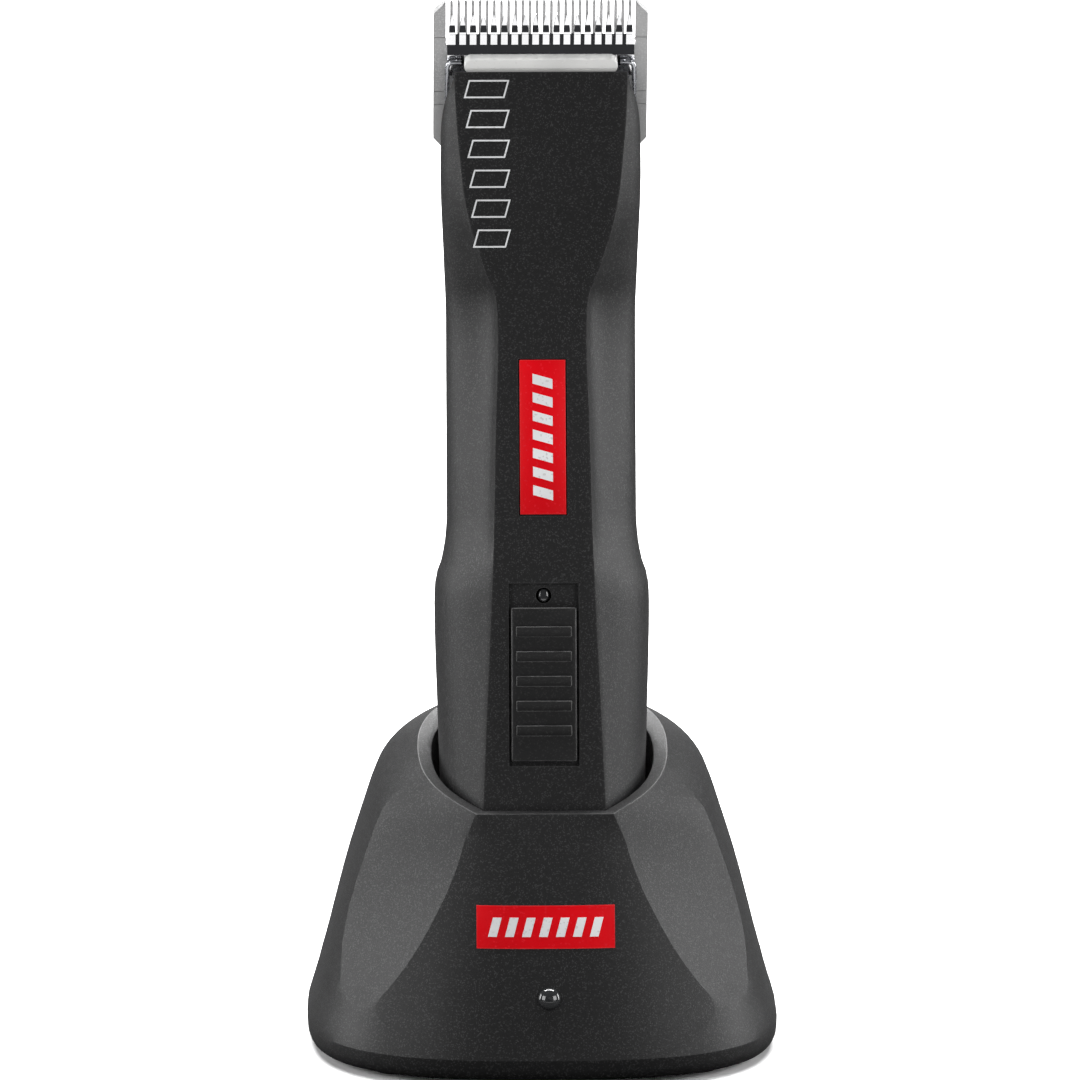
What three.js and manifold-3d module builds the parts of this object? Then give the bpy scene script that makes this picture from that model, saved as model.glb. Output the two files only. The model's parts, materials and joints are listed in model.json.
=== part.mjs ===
// Cordless hair clipper with a detachable blade set, standing in its charging stand.
// Millimetres, +Z up, front towards -Y, origin under the middle of the stand.
import * as THREE from 'three';
import { mergeVertices } from 'three/addons/utils/BufferGeometryUtils.js';
import Module from 'manifold-3d';

const wasm = await Module();
wasm.setup();

// ---------------------------------------------------------------- driving sizes
const gap = 0.3;                 // clearance between pieces that touch or slide
const slideGap = 0.5;            // clearance round a sliding plug-in piece

const standHalfWidth = 54.7;     // widest half width of the stand, just above its foot
const standHalfDepth = 54.9;
const standWall = 2.6;
const rimFrontHeight = 60;       // height of the front edge of the socket rim
const rimTilt = 19;              // degrees, rim rises to the back
const rimWidth = 3.4;            // flat land round the socket
const socketSideGap = 1.6;       // play beside the grip, at the sides
const socketGap = 0.9;           // play in front and behind
const socketWall = 2.2;
const shellBottom = 1.2;         // edge of the shell above the table
const footHeight = 1.4;
const basePlateThickness = 2.6;

const clipperLength = 212;       // comb tips to battery cap, along the clipper axis
const lean = 12;                 // degrees the clipper leans back in its stand
const seatHeight = 32;           // height of the middle of the battery cap's underside
const seatDepth = -15.8;
const gripHalfWidth = 24.95;     // widest, at the swell
const waistHalfWidth = 22.0;
const headHalfWidth = 23.2;
const housingWall = 2.2;
const motorRadius = 12.5;
const motorLength = 50;
const motorRoomFront = 2.5;      // between the motor and the housing, in front and behind
const motorRoomBack = 2.8;
const waistFacetDepth = motorRadius + motorRoomFront + housingWall;
const waistBackDepth = motorRadius + motorRoomBack + housingWall;
const facetDepth = 21;           // front facet ahead of the clipper axis, at the grip
const backDepth = 21;
const seamDepth = 1;             // plane between front and rear housing
const capHeight = 22;            // battery cap below the housing

const bladeTilt = 32;            // degrees between blade plane and clipper axis
const bladeSetBack = waistFacetDepth + 0.1;   // comb tips ahead of the clipper axis
const combHalfWidth = 24.75;
const combLength = 42;
const combThickness = 2.8;
const combTeeth = 26;
const combPitch = 1.647;
const combToothWidth = 0.65;
const combToothLength = 11.5;
const cutterHalfWidth = 21.6;
const cutterThickness = 2.3;
const cutterTeeth = 18;
const cutterSetBack = 2.6;
const seatLevel = 9.5;           // blade seat below the comb's skin face
const crankThrow = 1.15;
const crankBearingRadius = 2.3;
const switchTravel = 4.5;
const cellRadius = 9.15;
const cellLength = 65;
const cellSpacing = 0.5;         // between the two cells
const caseWall = 1.3;

// ---------------------------------------------------------------- finishes
const finish = (color, roughness, metalness = 0) =>
  new THREE.MeshStandardMaterial({ color, roughness, metalness });
const blackPlastic = finish(0x202124, 0.5);
const innerPlastic = finish(0x33363a, 0.6);
const whitePlastic = finish(0xe9e9e4, 0.4);
const redEnamel = finish(0xd60a20, 0.35);
const rubber = finish(0x17181a, 0.85);
const steel = finish(0xb9bcbe, 0.35, 1);
const polishedSteel = finish(0xd8dadc, 0.15, 1);
const brass = finish(0xc9a85a, 0.35, 1);
const aluminium = finish(0xaab0b5, 0.45, 1);
const boardGreen = finish(0x1d5a36, 0.55);
const cellWrap = finish(0x2f6fb0, 0.5);
const clearLens = finish(0xb9bcc0, 0.1);

// ---------------------------------------------------------------- solids
function solidOf(geometry) {
  const plain = geometry.clone();
  plain.deleteAttribute('normal');
  plain.deleteAttribute('uv');
  const merged = mergeVertices(plain, 1e-4);
  const corners = merged.index.array;
  const kept = [];
  for (let i = 0; i < corners.length; i += 3) {
    const [a, b, c] = corners.slice(i, i + 3);
    if (a !== b && b !== c && c !== a) kept.push(a, b, c);
  }
  return new wasm.Manifold(new wasm.Mesh({
    numProp: 3,
    vertProperties: new Float32Array(merged.attributes.position.array),
    triVerts: new Uint32Array(kept),
  }));
}

function geometryOf(solid) {
  const mesh = solid.getMesh();
  const geometry = new THREE.BufferGeometry();
  geometry.setAttribute('position', new THREE.BufferAttribute(mesh.vertProperties, 3));
  geometry.setIndex(new THREE.BufferAttribute(mesh.triVerts, 1));
  return geometry;
}

// A box given by its lowest and highest corners.
function block(low, high) {
  const size = high.map((value, i) => value - low[i]);
  const middle = high.map((value, i) => (value + low[i]) / 2);
  return solidOf(new THREE.BoxGeometry(...size).translate(...middle));
}

// A round bar along X, Y or Z, centred on a point.
function bar(radius, length, axis, centre, sides = 24) {
  const geometry = new THREE.CylinderGeometry(radius, radius, length, sides);
  if (axis === 'x') geometry.rotateZ(Math.PI / 2);
  if (axis === 'z') geometry.rotateX(Math.PI / 2);
  return solidOf(geometry.translate(...centre));
}

// A body of revolution about Z from [radius, height] points.
function turned(points, centre = [0, 0, 0], sides = 32) {
  const profile = points.map(([r, h]) => new THREE.Vector2(r, h));
  if (points[0][0] > 0) profile.push(profile[0].clone());
  const geometry = new THREE.LatheGeometry(profile, sides).rotateX(Math.PI / 2);
  const solid = solidOf(geometry.translate(...centre));
  return solid.volume() > 0 ? solid : solidOf(geometry.scale(1, -1, 1));
}

// A closed skin over equal-length rings, capped at both ends.
function loft(rings) {
  const count = rings[0].length;
  const points = rings.flat();
  const middleOf = (ring) =>
    ring.reduce((sum, p) => sum.add(p), new THREE.Vector3()).divideScalar(count);
  points.push(middleOf(rings[0]), middleOf(rings[rings.length - 1]));
  const faces = [];
  for (let k = 0; k + 1 < rings.length; k += 1) {
    for (let i = 0; i < count; i += 1) {
      const j = (i + 1) % count;
      const [a, b, c, d] = [k * count + i, k * count + j, (k + 1) * count + j, (k + 1) * count + i];
      faces.push(a, b, c, a, c, d);
    }
  }
  const lastRing = (rings.length - 1) * count;
  for (let i = 0; i < count; i += 1) {
    const j = (i + 1) % count;
    faces.push(points.length - 2, j, i, points.length - 1, lastRing + i, lastRing + j);
  }
  const geometry = new THREE.BufferGeometry().setFromPoints(points);
  geometry.setIndex(faces);
  return solidOf(geometry);
}

// An outline in the X-Y plane raised along Z, from one height to another.
function plate(outline, from, to) {
  const shape = new THREE.Shape(outline.map(([x, y]) => new THREE.Vector2(x, y)));
  const geometry = new THREE.ExtrudeGeometry(shape, { depth: to - from, bevelEnabled: false });
  return solidOf(geometry.translate(0, 0, from));
}

// A side outline of [y, z] points widened along X to both sides of the middle.
function sidePlate(outline, halfWidth) {
  const shape = new THREE.Shape(outline.map(([y, z]) => new THREE.Vector2(y, z)));
  const geometry = new THREE.ExtrudeGeometry(shape, { depth: 2 * halfWidth, bevelEnabled: false });
  geometry.translate(0, 0, -halfWidth);
  geometry.applyMatrix4(new THREE.Matrix4().set(0, 0, 1, 0, 1, 0, 0, 0, 0, 1, 0, 0, 0, 0, 0, 1));
  return solidOf(geometry);
}

const moved = (solid, matrix) => solid.transform(matrix.elements);

function place(parent, name, solid, material) {
  const mesh = new THREE.Mesh(geometryOf(solid), material);
  mesh.name = name;
  parent.add(mesh);
}

const radians = THREE.MathUtils.degToRad;
const sides = [['left', -1], ['right', 1]];

// ---------------------------------------------------------------- frames
const model = new THREE.Group();
const clipper = new THREE.Group();
clipper.position.set(0, seatDepth, seatHeight);
clipper.rotation.x = -radians(lean);
model.add(clipper);

// Blade frame: Y runs from comb tips to heel, Z out of the skin face.
const blade = new THREE.Group();
blade.position.set(0, -bladeSetBack, clipperLength);
blade.rotation.x = -radians(90 - bladeTilt);
clipper.add(blade);
model.updateMatrixWorld(true);
const clipperPlace = clipper.matrixWorld.clone();
const bladeInClipper = blade.matrix.clone();

// ---------------------------------------------------------------- clipper body shape
// A smooth curve through [position, value] rows.
function curveThrough(rows) {
  return (at) => {
    let k = rows.findIndex(([position]) => position >= at);
    if (k < 0) return rows[rows.length - 1][1];
    if (k === 0) return rows[0][1];
    const slope = (i) => {
      if (i <= 0 || i >= rows.length - 1) return 0;
      const before = (rows[i][1] - rows[i - 1][1]) / (rows[i][0] - rows[i - 1][0]);
      const after = (rows[i + 1][1] - rows[i][1]) / (rows[i + 1][0] - rows[i][0]);
      return before * after <= 0 ? 0 : (2 * before * after) / (before + after);
    };
    const span = rows[k][0] - rows[k - 1][0];
    const t = (at - rows[k - 1][0]) / span;
    return rows[k - 1][1] * (1 + 2 * t) * (1 - t) ** 2 + rows[k][1] * t * t * (3 - 2 * t)
      + span * (slope(k - 1) * t * (1 - t) ** 2 - slope(k) * t * t * (1 - t));
  };
}

const head = (below) => clipperLength - below;      // a station counted from the comb tips
const headEdge = head(17.5);
const swell = 73;
const waistLow = 88;
const waistHigh = head(74);

const halfWidthAt = curveThrough([
  [0, gripHalfWidth - 1.9], [36, gripHalfWidth - 1], [swell, gripHalfWidth],
  [swell + 5, gripHalfWidth - 0.3], [swell + 9.6, waistHalfWidth + 1.2], [waistLow, waistHalfWidth + 0.3],
  [waistLow + 5, waistHalfWidth], [waistHigh, waistHalfWidth], [head(60), waistHalfWidth + 0.5],
  [head(41), headHalfWidth], [head(32), headHalfWidth - 0.1], [head(24), headHalfWidth - 0.7],
  [head(21.5), headHalfWidth - 1.3], [head(19.2), headHalfWidth - 2.2], [headEdge, headHalfWidth - 3.1]]);
const facetHalfWidthAt = curveThrough([
  [0, 14.9], [34.8, 13.7], [waistLow - 2, 11.5], [head(100), 10.9], [waistHigh - 6, 10.3], [waistHigh, 10.4],
  [head(69), 10.9], [head(65.6), 12.4], [head(59.3), 14.6], [head(52.8), 16.6], [head(45), 18],
  [head(37.4), 18.8], [head(29.4), 19.5], [headEdge, 20]]);
const frontAt = curveThrough([
  [0, -facetDepth], [swell + 8, -facetDepth], [swell + 16, -facetDepth + 0.5],
  [waistHigh - 8, -waistFacetDepth - 0.4], [waistHigh, -waistFacetDepth],
  [headEdge, -waistFacetDepth - 0.3]]);
const backAt = curveThrough([
  [0, backDepth - 1.5], [swell, backDepth], [waistLow + 6, waistBackDepth + 0.6],
  [waistHigh - 8, waistBackDepth], [head(70), waistBackDepth - 3], [head(60), waistBackDepth - 8],
  [head(46), 2.6], [head(40), -0.8],
  [headEdge, -6]]);
// How far the flanks are scooped: 0 full and round, 1 hollow beside the facet.
const scoopAt = curveThrough([
  [0, 0], [swell, 0.05], [waistLow + 4, 0.75], [waistHigh, 1], [head(60), 0.8],
  [head(45), 0.25], [headEdge, 0.1]]);

const facetSteps = 2;
const flankSteps = 6;
const backSteps = 6;
const backSquareness = 2.4;

// Half of an outline, from front centre to back centre, mirrored into a closed ring.
function mirroredRing(half, height) {
  const right = half.map(([x, y]) => new THREE.Vector3(x, y, height));
  const left = half.slice(1, -1).reverse().map(([x, y]) => new THREE.Vector3(-x, y, height));
  return [...right, ...left];
}

// The clipper's outline at a station, grown by a margin all round and a little more at the sides.
function handleOutline(station, margin = 0, sideMargin = margin) {
  const width = halfWidthAt(station) + sideMargin;
  const facet = facetHalfWidthAt(station) + margin * 0.55;
  const front = frontAt(station) - margin;
  const back = backAt(station) + margin;
  const middle = Math.min(2, (front + back) / 2 + 1);
  const scoop = scoopAt(station);
  const outline = [];
  for (let i = 0; i < facetSteps; i += 1) outline.push([(facet * i) / facetSteps, front]);
  const start = new THREE.Vector2(facet, front);
  const end = new THREE.Vector2(width, middle);
  const run = end.clone().sub(start);
  const flank = new THREE.CubicBezierCurve(
    start,
    start.clone().add(new THREE.Vector2(run.x * (0.5 - 0.42 * scoop), run.y * (0.24 + 0.18 * scoop))),
    end.clone().sub(new THREE.Vector2(0, run.y * (0.55 - 0.1 * scoop))),
    end);
  for (let i = 0; i < flankSteps; i += 1) {
    const p = flank.getPoint(i / flankSteps);
    outline.push([p.x, p.y]);
  }
  for (let i = 0; i <= backSteps; i += 1) {
    const turn = (i / backSteps) * (Math.PI / 2);
    outline.push([width * Math.cos(turn) ** (2 / backSquareness),
      middle + (back - middle) * Math.sin(turn) ** (2 / backSquareness)]);
  }
  outline[outline.length - 1][0] = 0;
  return outline;
}

const handleRing = (station, margin, sideMargin) =>
  mirroredRing(handleOutline(station, margin, sideMargin), station);
const handleSolid = (stations, margin, sideMargin) =>
  loft(stations.map((station) => handleRing(station, margin, sideMargin)));

// ---------------------------------------------------------------- stand shape
const rimSlope = Math.tan(radians(rimTilt));
const rimStation = 40;
const axisDirection = new THREE.Vector3(0, 0, 1).transformDirection(clipperPlace);

// The clipper's outline carried along its axis onto the sloping rim plane.
function rimRing(margin, sideMargin, drop = 0) {
  const ring = handleRing(rimStation, margin, sideMargin).map((p) => p.applyMatrix4(clipperPlace));
  const nearest = Math.min(...ring.map((p) => p.y - (p.z - rimFrontHeight) * axisDirection.y));
  return ring.map((p) => {
    const rise = rimFrontHeight - drop + (p.y - nearest) * rimSlope - p.z;
    return p.addScaledVector(axisDirection, rise / (axisDirection.z - rimSlope * axisDirection.y));
  });
}
const rimOuter = rimRing(socketGap + rimWidth, socketSideGap + rimWidth);
const rimBack = rimOuter.reduce((a, b) => (b.y > a.y ? b : a));
const rimFront = rimOuter.reduce((a, b) => (b.y < a.y ? b : a));
const standSquareness = 2.8;
const shoulderStart = 4.5;
const tiltAt = (height) => Math.max(0, (height - shoulderStart) / (rimFrontHeight - shoulderStart)) ** 1.5
  * (rimBack.z - rimFrontHeight);
const frontSetAt = (height) => -standHalfDepth + (standHalfDepth + rimFront.y)
  * ((height - shoulderStart) / (rimFrontHeight - shoulderStart));
const backSetAt = curveThrough([
  [shoulderStart, standHalfDepth], [22, standHalfDepth * 0.92], [50, standHalfDepth * 0.775],
  [rimBack.z - 13, standHalfDepth * 0.69], [rimBack.z - 5, standHalfDepth * 0.57], [rimBack.z, rimBack.y]]);

// Rows: front height, share of the half width, inner and outer edge of the corner facet as
// shares of the half width at that height, and how far the corner is cut to the flat facet.
const standRows = [
  [6, 1, 0.55, 0.8, 0], [12, 0.97, 0.7, 0.88, 0], [15, 0.952, 0.755, 0.9, 0], [17, 0.942, 0.75, 0.915, 0.75],
  [20, 0.924, 0.715, 0.93, 1], [28, 0.88, 0.63, 0.96, 1], [36, 0.834, 0.563, 0.965, 1],
  [45, 0.77, 0.506, 0.965, 0.95], [52, 0.713, 0.485, 0.965, 0.85], [56.5, 0.655, 0.49, 0.965, 0.7]];

// One ring of the stand, drawn in by a wall thickness.
function standRing([height, share, innerShare, outerShare, cut], inset = 0) {
  const width = standHalfWidth * share - inset;
  const frontY = frontSetAt(height) + inset;
  const backZ = height + tiltAt(height);
  const backY = backSetAt(backZ) - inset;
  const depth = (backY - frontY) / 2;
  const middleY = (backY + frontY) / 2;
  const onCurve = (x) => -depth * (1 - Math.min(1, x / width) ** standSquareness) ** (1 / standSquareness);
  const inner = width * innerShare;
  const outer = width * outerShare;
  const half = [];
  for (let i = 0; i < facetSteps; i += 1) {
    const x = (inner * i) / facetSteps;
    half.push([x, onCurve(x)]);
  }
  const facetPoints = flankSteps - 3;
  for (let i = 0; i <= facetPoints; i += 1) {
    const t = i / facetPoints;
    const x = inner + (outer - inner) * t;
    const round = onCurve(x);
    const flat = onCurve(inner) + (onCurve(outer) - onCurve(inner)) * t;
    half.push([x, round + (flat - round) * cut]);
  }
  const start = -Math.acos(Math.min(1, outerShare) ** (standSquareness / 2));
  const steps = backSteps + 2;
  for (let i = 1; i <= steps; i += 1) {
    const turn = start + (i / steps) * (Math.PI / 2 - start);
    const c = Math.abs(Math.cos(turn)) ** (2 / standSquareness);
    const s = Math.sign(turn) * Math.abs(Math.sin(turn)) ** (2 / standSquareness);
    half.push([width * c, depth * s]);
  }
  half[half.length - 1][0] = 0;
  const slope = tiltAt(height) / (2 * depth);
  return mirroredRing(half, 0).map((p) => p.set(p.x, p.y + middleY, height + (p.y + depth) * slope));
}

function standSolid(inset = 0, closeTop = true) {
  const foot = standRing(standRows[0], inset + 1.6).map((p) => p.setZ(shellBottom));
  const low = standRing(standRows[0], inset + 0.3).map((p) => p.setZ(shellBottom + 1.6));
  const rings = [foot, low, ...standRows.map((row) => standRing(row, inset))];
  if (closeTop) rings.push(rimRing(socketGap + rimWidth, socketSideGap + rimWidth));
  return loft(rings);
}

const outerStand = standSolid();
const gripStations = [-1, 12, 24, 36, 48, 60, 72];
const socket = moved(handleSolid(gripStations, socketGap, socketSideGap), clipperPlace);
const cup = moved(
  handleSolid([-1 - socketWall, ...gripStations.slice(1)], socketGap + socketWall,
    socketSideGap + socketWall),
  clipperPlace);

// ---------------------------------------------------------------- charging stand
const lampGroup = new THREE.Group();
const lampHeight = 19.5;
const frontSlope = Math.atan((standHalfDepth + rimFront.y) / (rimFrontHeight - shoulderStart));
lampGroup.position.set(0.7, frontSetAt(lampHeight), lampHeight);
lampGroup.rotation.x = Math.PI / 2 - frontSlope;
lampGroup.updateMatrix();
model.add(lampGroup);
const lampRadius = 2.6;

const badgeWidth = 31.8;
const badgeHeight = 9.4;
const badgeMiddle = 35.2;
const badgeThickness = 0.9;
const badgePrism = (grow) => block(
  [-badgeWidth / 2 - grow, -standHalfDepth - 5, badgeMiddle - badgeHeight / 2 - grow],
  [badgeWidth / 2 + grow, 0, badgeMiddle + badgeHeight / 2 + grow]);

const inletHeight = 19.5;
const inletRadius = 4.4;
const cornerSpots = (x, y) => [[-x, -y], [x, -y], [-x, y], [x, y]];
const screwSpots = cornerSpots(standHalfWidth - 12.7, standHalfDepth - 32.9);
const footSpots = cornerSpots(standHalfWidth * 0.62, standHalfDepth * 0.655);
const basePlateBottom = shellBottom + 0.5;
const basePlateTop = basePlateBottom + basePlateThickness;
const screwShank = 1.4;
const notchHalfWidth = 6.6;
const buttonStation = 12;

const boardHeight = 12;
const boardPosts = [[-20, 12], [20, 12], [-20, 38], [20, 38]];

function makeStandShell() {
  const hollow = standSolid(standWall, false);
  let shell = outerStand.subtract(hollow).subtract(hollow.translate([0, 0, -3]));
  const bosses = screwSpots.map(([x, y]) => bar(4, 26, 'z', [x, y, basePlateTop + gap + 13], 16));
  bosses.forEach((boss) => { shell = shell.add(boss.intersect(outerStand)); });
  shell = shell.add(cup.intersect(outerStand)).subtract(socket);
  screwSpots.forEach(([x, y]) => {
    shell = shell.subtract(bar(screwShank + gap, 30, 'z', [x, y, 2], 16));
  });
  const notch = block(
    [-gripHalfWidth - socketSideGap - 1.7, -notchHalfWidth, buttonStation - 8],
    [gripHalfWidth + socketSideGap + 1.7, notchHalfWidth, 90]);
  const carrierHole = block([-9.3, -5.3, -9], [9.3, 5.3, 0]);
  shell = shell.subtract(moved(notch, clipperPlace)).subtract(moved(carrierHole, clipperPlace));
  shell = shell.subtract(moved(bar(lampRadius + gap, 12, 'z', [0, 0, 0]), lampGroup.matrix));
  shell = shell.subtract(bar(inletRadius, 16, 'y', [0, standHalfDepth - 1, inletHeight]));
  const pocket = badgePrism(gap).subtract(standSolid(badgeThickness));
  return shell.subtract(pocket);
}

function makeBasePlate() {
  const outline = standRing(standRows[0], standWall + 0.3 + gap).map((p) => [p.x, p.y]);
  let base = plate(outline, basePlateBottom, basePlateTop);
  screwSpots.forEach(([x, y]) => {
    base = base.subtract(bar(screwShank + gap + 0.1, 12, 'z', [x, y, 3], 16));
    base = base.subtract(bar(3.5, 3.2, 'z', [x, y, basePlateBottom], 16));
  });
  boardPosts.forEach(([x, y]) => {
    base = base.add(bar(3, boardHeight - gap - basePlateTop + 1, 'z',
      [x, y, (boardHeight - gap + basePlateTop - 1) / 2], 12));
  });
  return base;
}

place(model, 'stand_shell', makeStandShell(), blackPlastic);
place(model, 'stand_base_plate', makeBasePlate(), blackPlastic);
footSpots.forEach(([x, y], i) => {
  const foot = turned([[0, 0], [5.4, 0], [6, 0.4], [6, footHeight], [0, footHeight]], [x, y, 0], 24);
  place(model, `stand_foot_${i + 1}`, foot, rubber);
});
screwSpots.forEach(([x, y], i) => {
  const low = basePlateBottom + 0.15;
  const screw = turned([[0, low + 0.6], [0.9, low + 0.6], [1.2, low], [2.6, low], [3.1, low + 0.4],
    [3.1, low + 1.1], [screwShank, low + 1.1], [screwShank, low + 12], [0, low + 12.6]], [x, y, 0], 12);
  place(model, `stand_screw_${i + 1}`, screw, steel);
});
const standBadge = badgePrism(0).intersect(standSolid(-0.25)).subtract(standSolid(badgeThickness - gap));
place(model, 'stand_badge', standBadge, redEnamel);
const lampLens = turned([[0, -5], [lampRadius, -5], [lampRadius, 0.2], [lampRadius * 0.9, 0.9],
  [lampRadius * 0.6, 1.5], [0, 1.8]], [0, 0, 0], 24);
place(lampGroup, 'status_lamp', lampLens, clearLens);
place(model, 'charger_board', block([-25, 6, boardHeight], [25, 44, boardHeight + 1.6]), boardGreen);
const inletBody = block([-4.5, 33, boardHeight + 1.9], [4.5, 46.5, inletHeight + 5])
  .subtract(bar(2.8, 18, 'y', [0, 46.5, inletHeight], 20))
  .add(bar(0.9, 10, 'y', [0, 41, inletHeight], 12));
place(model, 'dc_inlet', inletBody, innerPlastic);
const pinSpacing = 5;
const pinRadius = 1.2;
const pinReach = 0.3;            // pin tips above the floor of the socket
let carrier = block([-9, -5, -8], [9, 5, -0.9 - gap]);
sides.forEach(([, side]) => {
  carrier = carrier.subtract(bar(pinRadius + gap, 20, 'z', [side * pinSpacing, 0, -4], 16));
});
place(clipper, 'contact_carrier', carrier, innerPlastic);
sides.forEach(([label, side]) => {
  const pin = turned([[0, -7.5], [pinRadius, -7.5], [pinRadius, -0.2], [0.8, pinReach - 0.05], [0, pinReach]],
    [side * pinSpacing, 0, 0], 16);
  place(clipper, `charge_pin_${label}`, pin, brass);
});

// ---------------------------------------------------------------- battery pack
const capWall = 2;
const caseHalfWidth = 2 * cellRadius + cellSpacing / 2 + caseWall + slideGap;
const cellDepth = 2.1;           // the cells sit a little behind the clipper axis
const caseHalfDepth = cellRadius + caseWall + slideGap + 0.35;
const caseDepthFront = cellDepth - caseHalfDepth;
const caseDepthBack = cellDepth + caseHalfDepth;
const caseRounding = caseHalfWidth - cellRadius - cellSpacing / 2 - 0.1;
const caseTop = 72;
const buttonHeight = 9;
const buttonDepth = 11;
const contactRadius = 2.6;
const contactDepth = 1.3;

function makeBatteryCap() {
  const top = capHeight - gap;
  const round = [1.2, 0.3].map((inset, i) => handleRing(i * 0.9, -inset).map((p) => p.setZ(i * 0.9)));
  const outer = loft([...round, ...[2, 8, 15, top].map((station) => handleRing(station, -0.05))]);
  const inner = loft([3, 10, 16, 30].map((station) => handleRing(station, -capWall)));
  let cap = outer.subtract(inner);
  const windowBlock = block(
    [-40, -buttonDepth / 2 - gap, buttonStation - buttonHeight / 2 - gap],
    [40, buttonDepth / 2 + gap, buttonStation + buttonHeight / 2 + gap]);
  cap = cap.subtract(windowBlock);
  sides.forEach(([, side]) => {
    const recess = bar(contactRadius, 2 * contactDepth, 'z', [side * pinSpacing, 0, 0], 20);
    cap = cap.subtract(recess).subtract(bar(1.3, 8, 'z', [side * pinSpacing, 0, 2], 16));
  });
  return cap;
}

function makeBatteryCase() {
  const outline = (inset) => {
    const [w, r] = [caseHalfWidth - inset, caseRounding - inset];
    const [f, b] = [caseDepthFront + inset, caseDepthBack - inset];
    const shape = new THREE.Shape();
    shape.moveTo(-w + r, f).lineTo(w - r, f).absarc(w - r, f + r, r, -Math.PI / 2, 0)
      .lineTo(w, b - r).absarc(w - r, b - r, r, 0, Math.PI / 2)
      .lineTo(-w + r, b).absarc(-w + r, b - r, r, Math.PI / 2, Math.PI)
      .lineTo(-w, f + r).absarc(-w + r, f + r, r, Math.PI, 1.5 * Math.PI);
    return shape.getPoints(5).map((p) => [p.x, p.y]).slice(0, -1);
  };
  return plate(outline(0), capHeight, caseTop)
    .subtract(plate(outline(caseWall), capHeight - 1, caseTop - 1.4))
    .subtract(block([-6, 1, caseTop - 3], [6, 5, caseTop + 1]));
}

place(clipper, 'battery_cap', makeBatteryCap(), blackPlastic);
place(clipper, 'battery_case', makeBatteryCase(), innerPlastic);
sides.forEach(([label, side]) => {
  const cell = turned([[0, 0], [cellRadius - 0.6, 0], [cellRadius, 0.6], [cellRadius, cellLength - 1],
    [cellRadius - 1, cellLength], [0, cellLength]],
  [side * (cellRadius + cellSpacing / 2), cellDepth, 3.6], 24);
  place(clipper, `battery_cell_${label}`, cell, cellWrap);
  const buttonFace = halfWidthAt(buttonStation) + 0.9;
  const [x0, x1] = [side * (buttonFace - 3.6), side * buttonFace].sort((a, b) => a - b);
  const button = block([x0, -buttonDepth / 2, buttonStation - buttonHeight / 2],
    [x1, buttonDepth / 2, buttonStation + buttonHeight / 2]);
  place(clipper, `battery_button_${label}`, button, innerPlastic);
  const padLow = pinReach + gap;
  const padHigh = contactDepth - gap;
  const pad = bar(contactRadius - 0.4, padHigh - padLow, 'z',
    [side * pinSpacing, 0, (padLow + padHigh) / 2], 20);
  place(clipper, `battery_pad_${label}`, pad, brass);
});

// ---------------------------------------------------------------- clipper housings
const bodyStations = [capHeight, 34, 48, 62, swell, swell + 5, swell + 8, swell + 12, waistLow + 3, 104,
  head(92), head(80), waistHigh, head(68), head(62), head(56), head(50), head(44), head(38), head(32),
  head(26), head(22.5), head(20.5), head(18.8), headEdge, headEdge + 1];
const innerStations = [capHeight - 1, 48, swell, swell + 9, 104, waistHigh, head(62), head(50), head(38),
  head(28), head(17)];
const bodySolid = handleSolid(bodyStations, 0);
const bodyCavity = handleSolid(innerStations, -housingWall);
const seatLength = combLength + 9;

const switchMiddle = 55.2;
const recessHalfWidth = 8.1;
const recessHalfLength = 21.1;
const recessDepth = 1.2;
const sliderHalfWidth = 7.55;
const sliderLength = 35.5;
const sliderLow = 35.2;
const stemHalfWidth = 3;
const stemHalfLength = 5;
const stemStation = 52;
const lensStation = 73.5;

const badgeFrame = new THREE.Group();
const badgeLow = 92.1;
const badgeHigh = 127.9;
const badgeHalfWidth = 5.3;
badgeFrame.position.set(0, (frontAt(badgeLow) + frontAt(badgeHigh)) / 2, (badgeLow + badgeHigh) / 2);
badgeFrame.rotation.x = -Math.atan((frontAt(badgeHigh) - frontAt(badgeLow)) / (badgeHigh - badgeLow));
badgeFrame.updateMatrix();
clipper.add(badgeFrame);
const badgeHalfLength = (badgeHigh - badgeLow) / 2;

const inBlade = (solid) => moved(solid, bladeInClipper);
// A block in the blade frame, given by distance from the tips and depth below the skin face.
const bladeBlock = (x, [near, far], [shallow, deep]) => block([-x, near, -deep], [x, far, -shallow]);

const screwHeadDepth = 8;
const screwRows = [[-15.2, 80], [15.2, 80], [-15.5, head(70)], [15.5, head(70)]];
const latchNear = 57;
const latchFar = 67;
const latchHalfWidth = 7;
const hingeFar = combLength + 5;
const hingeDeep = 7.6;

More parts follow.
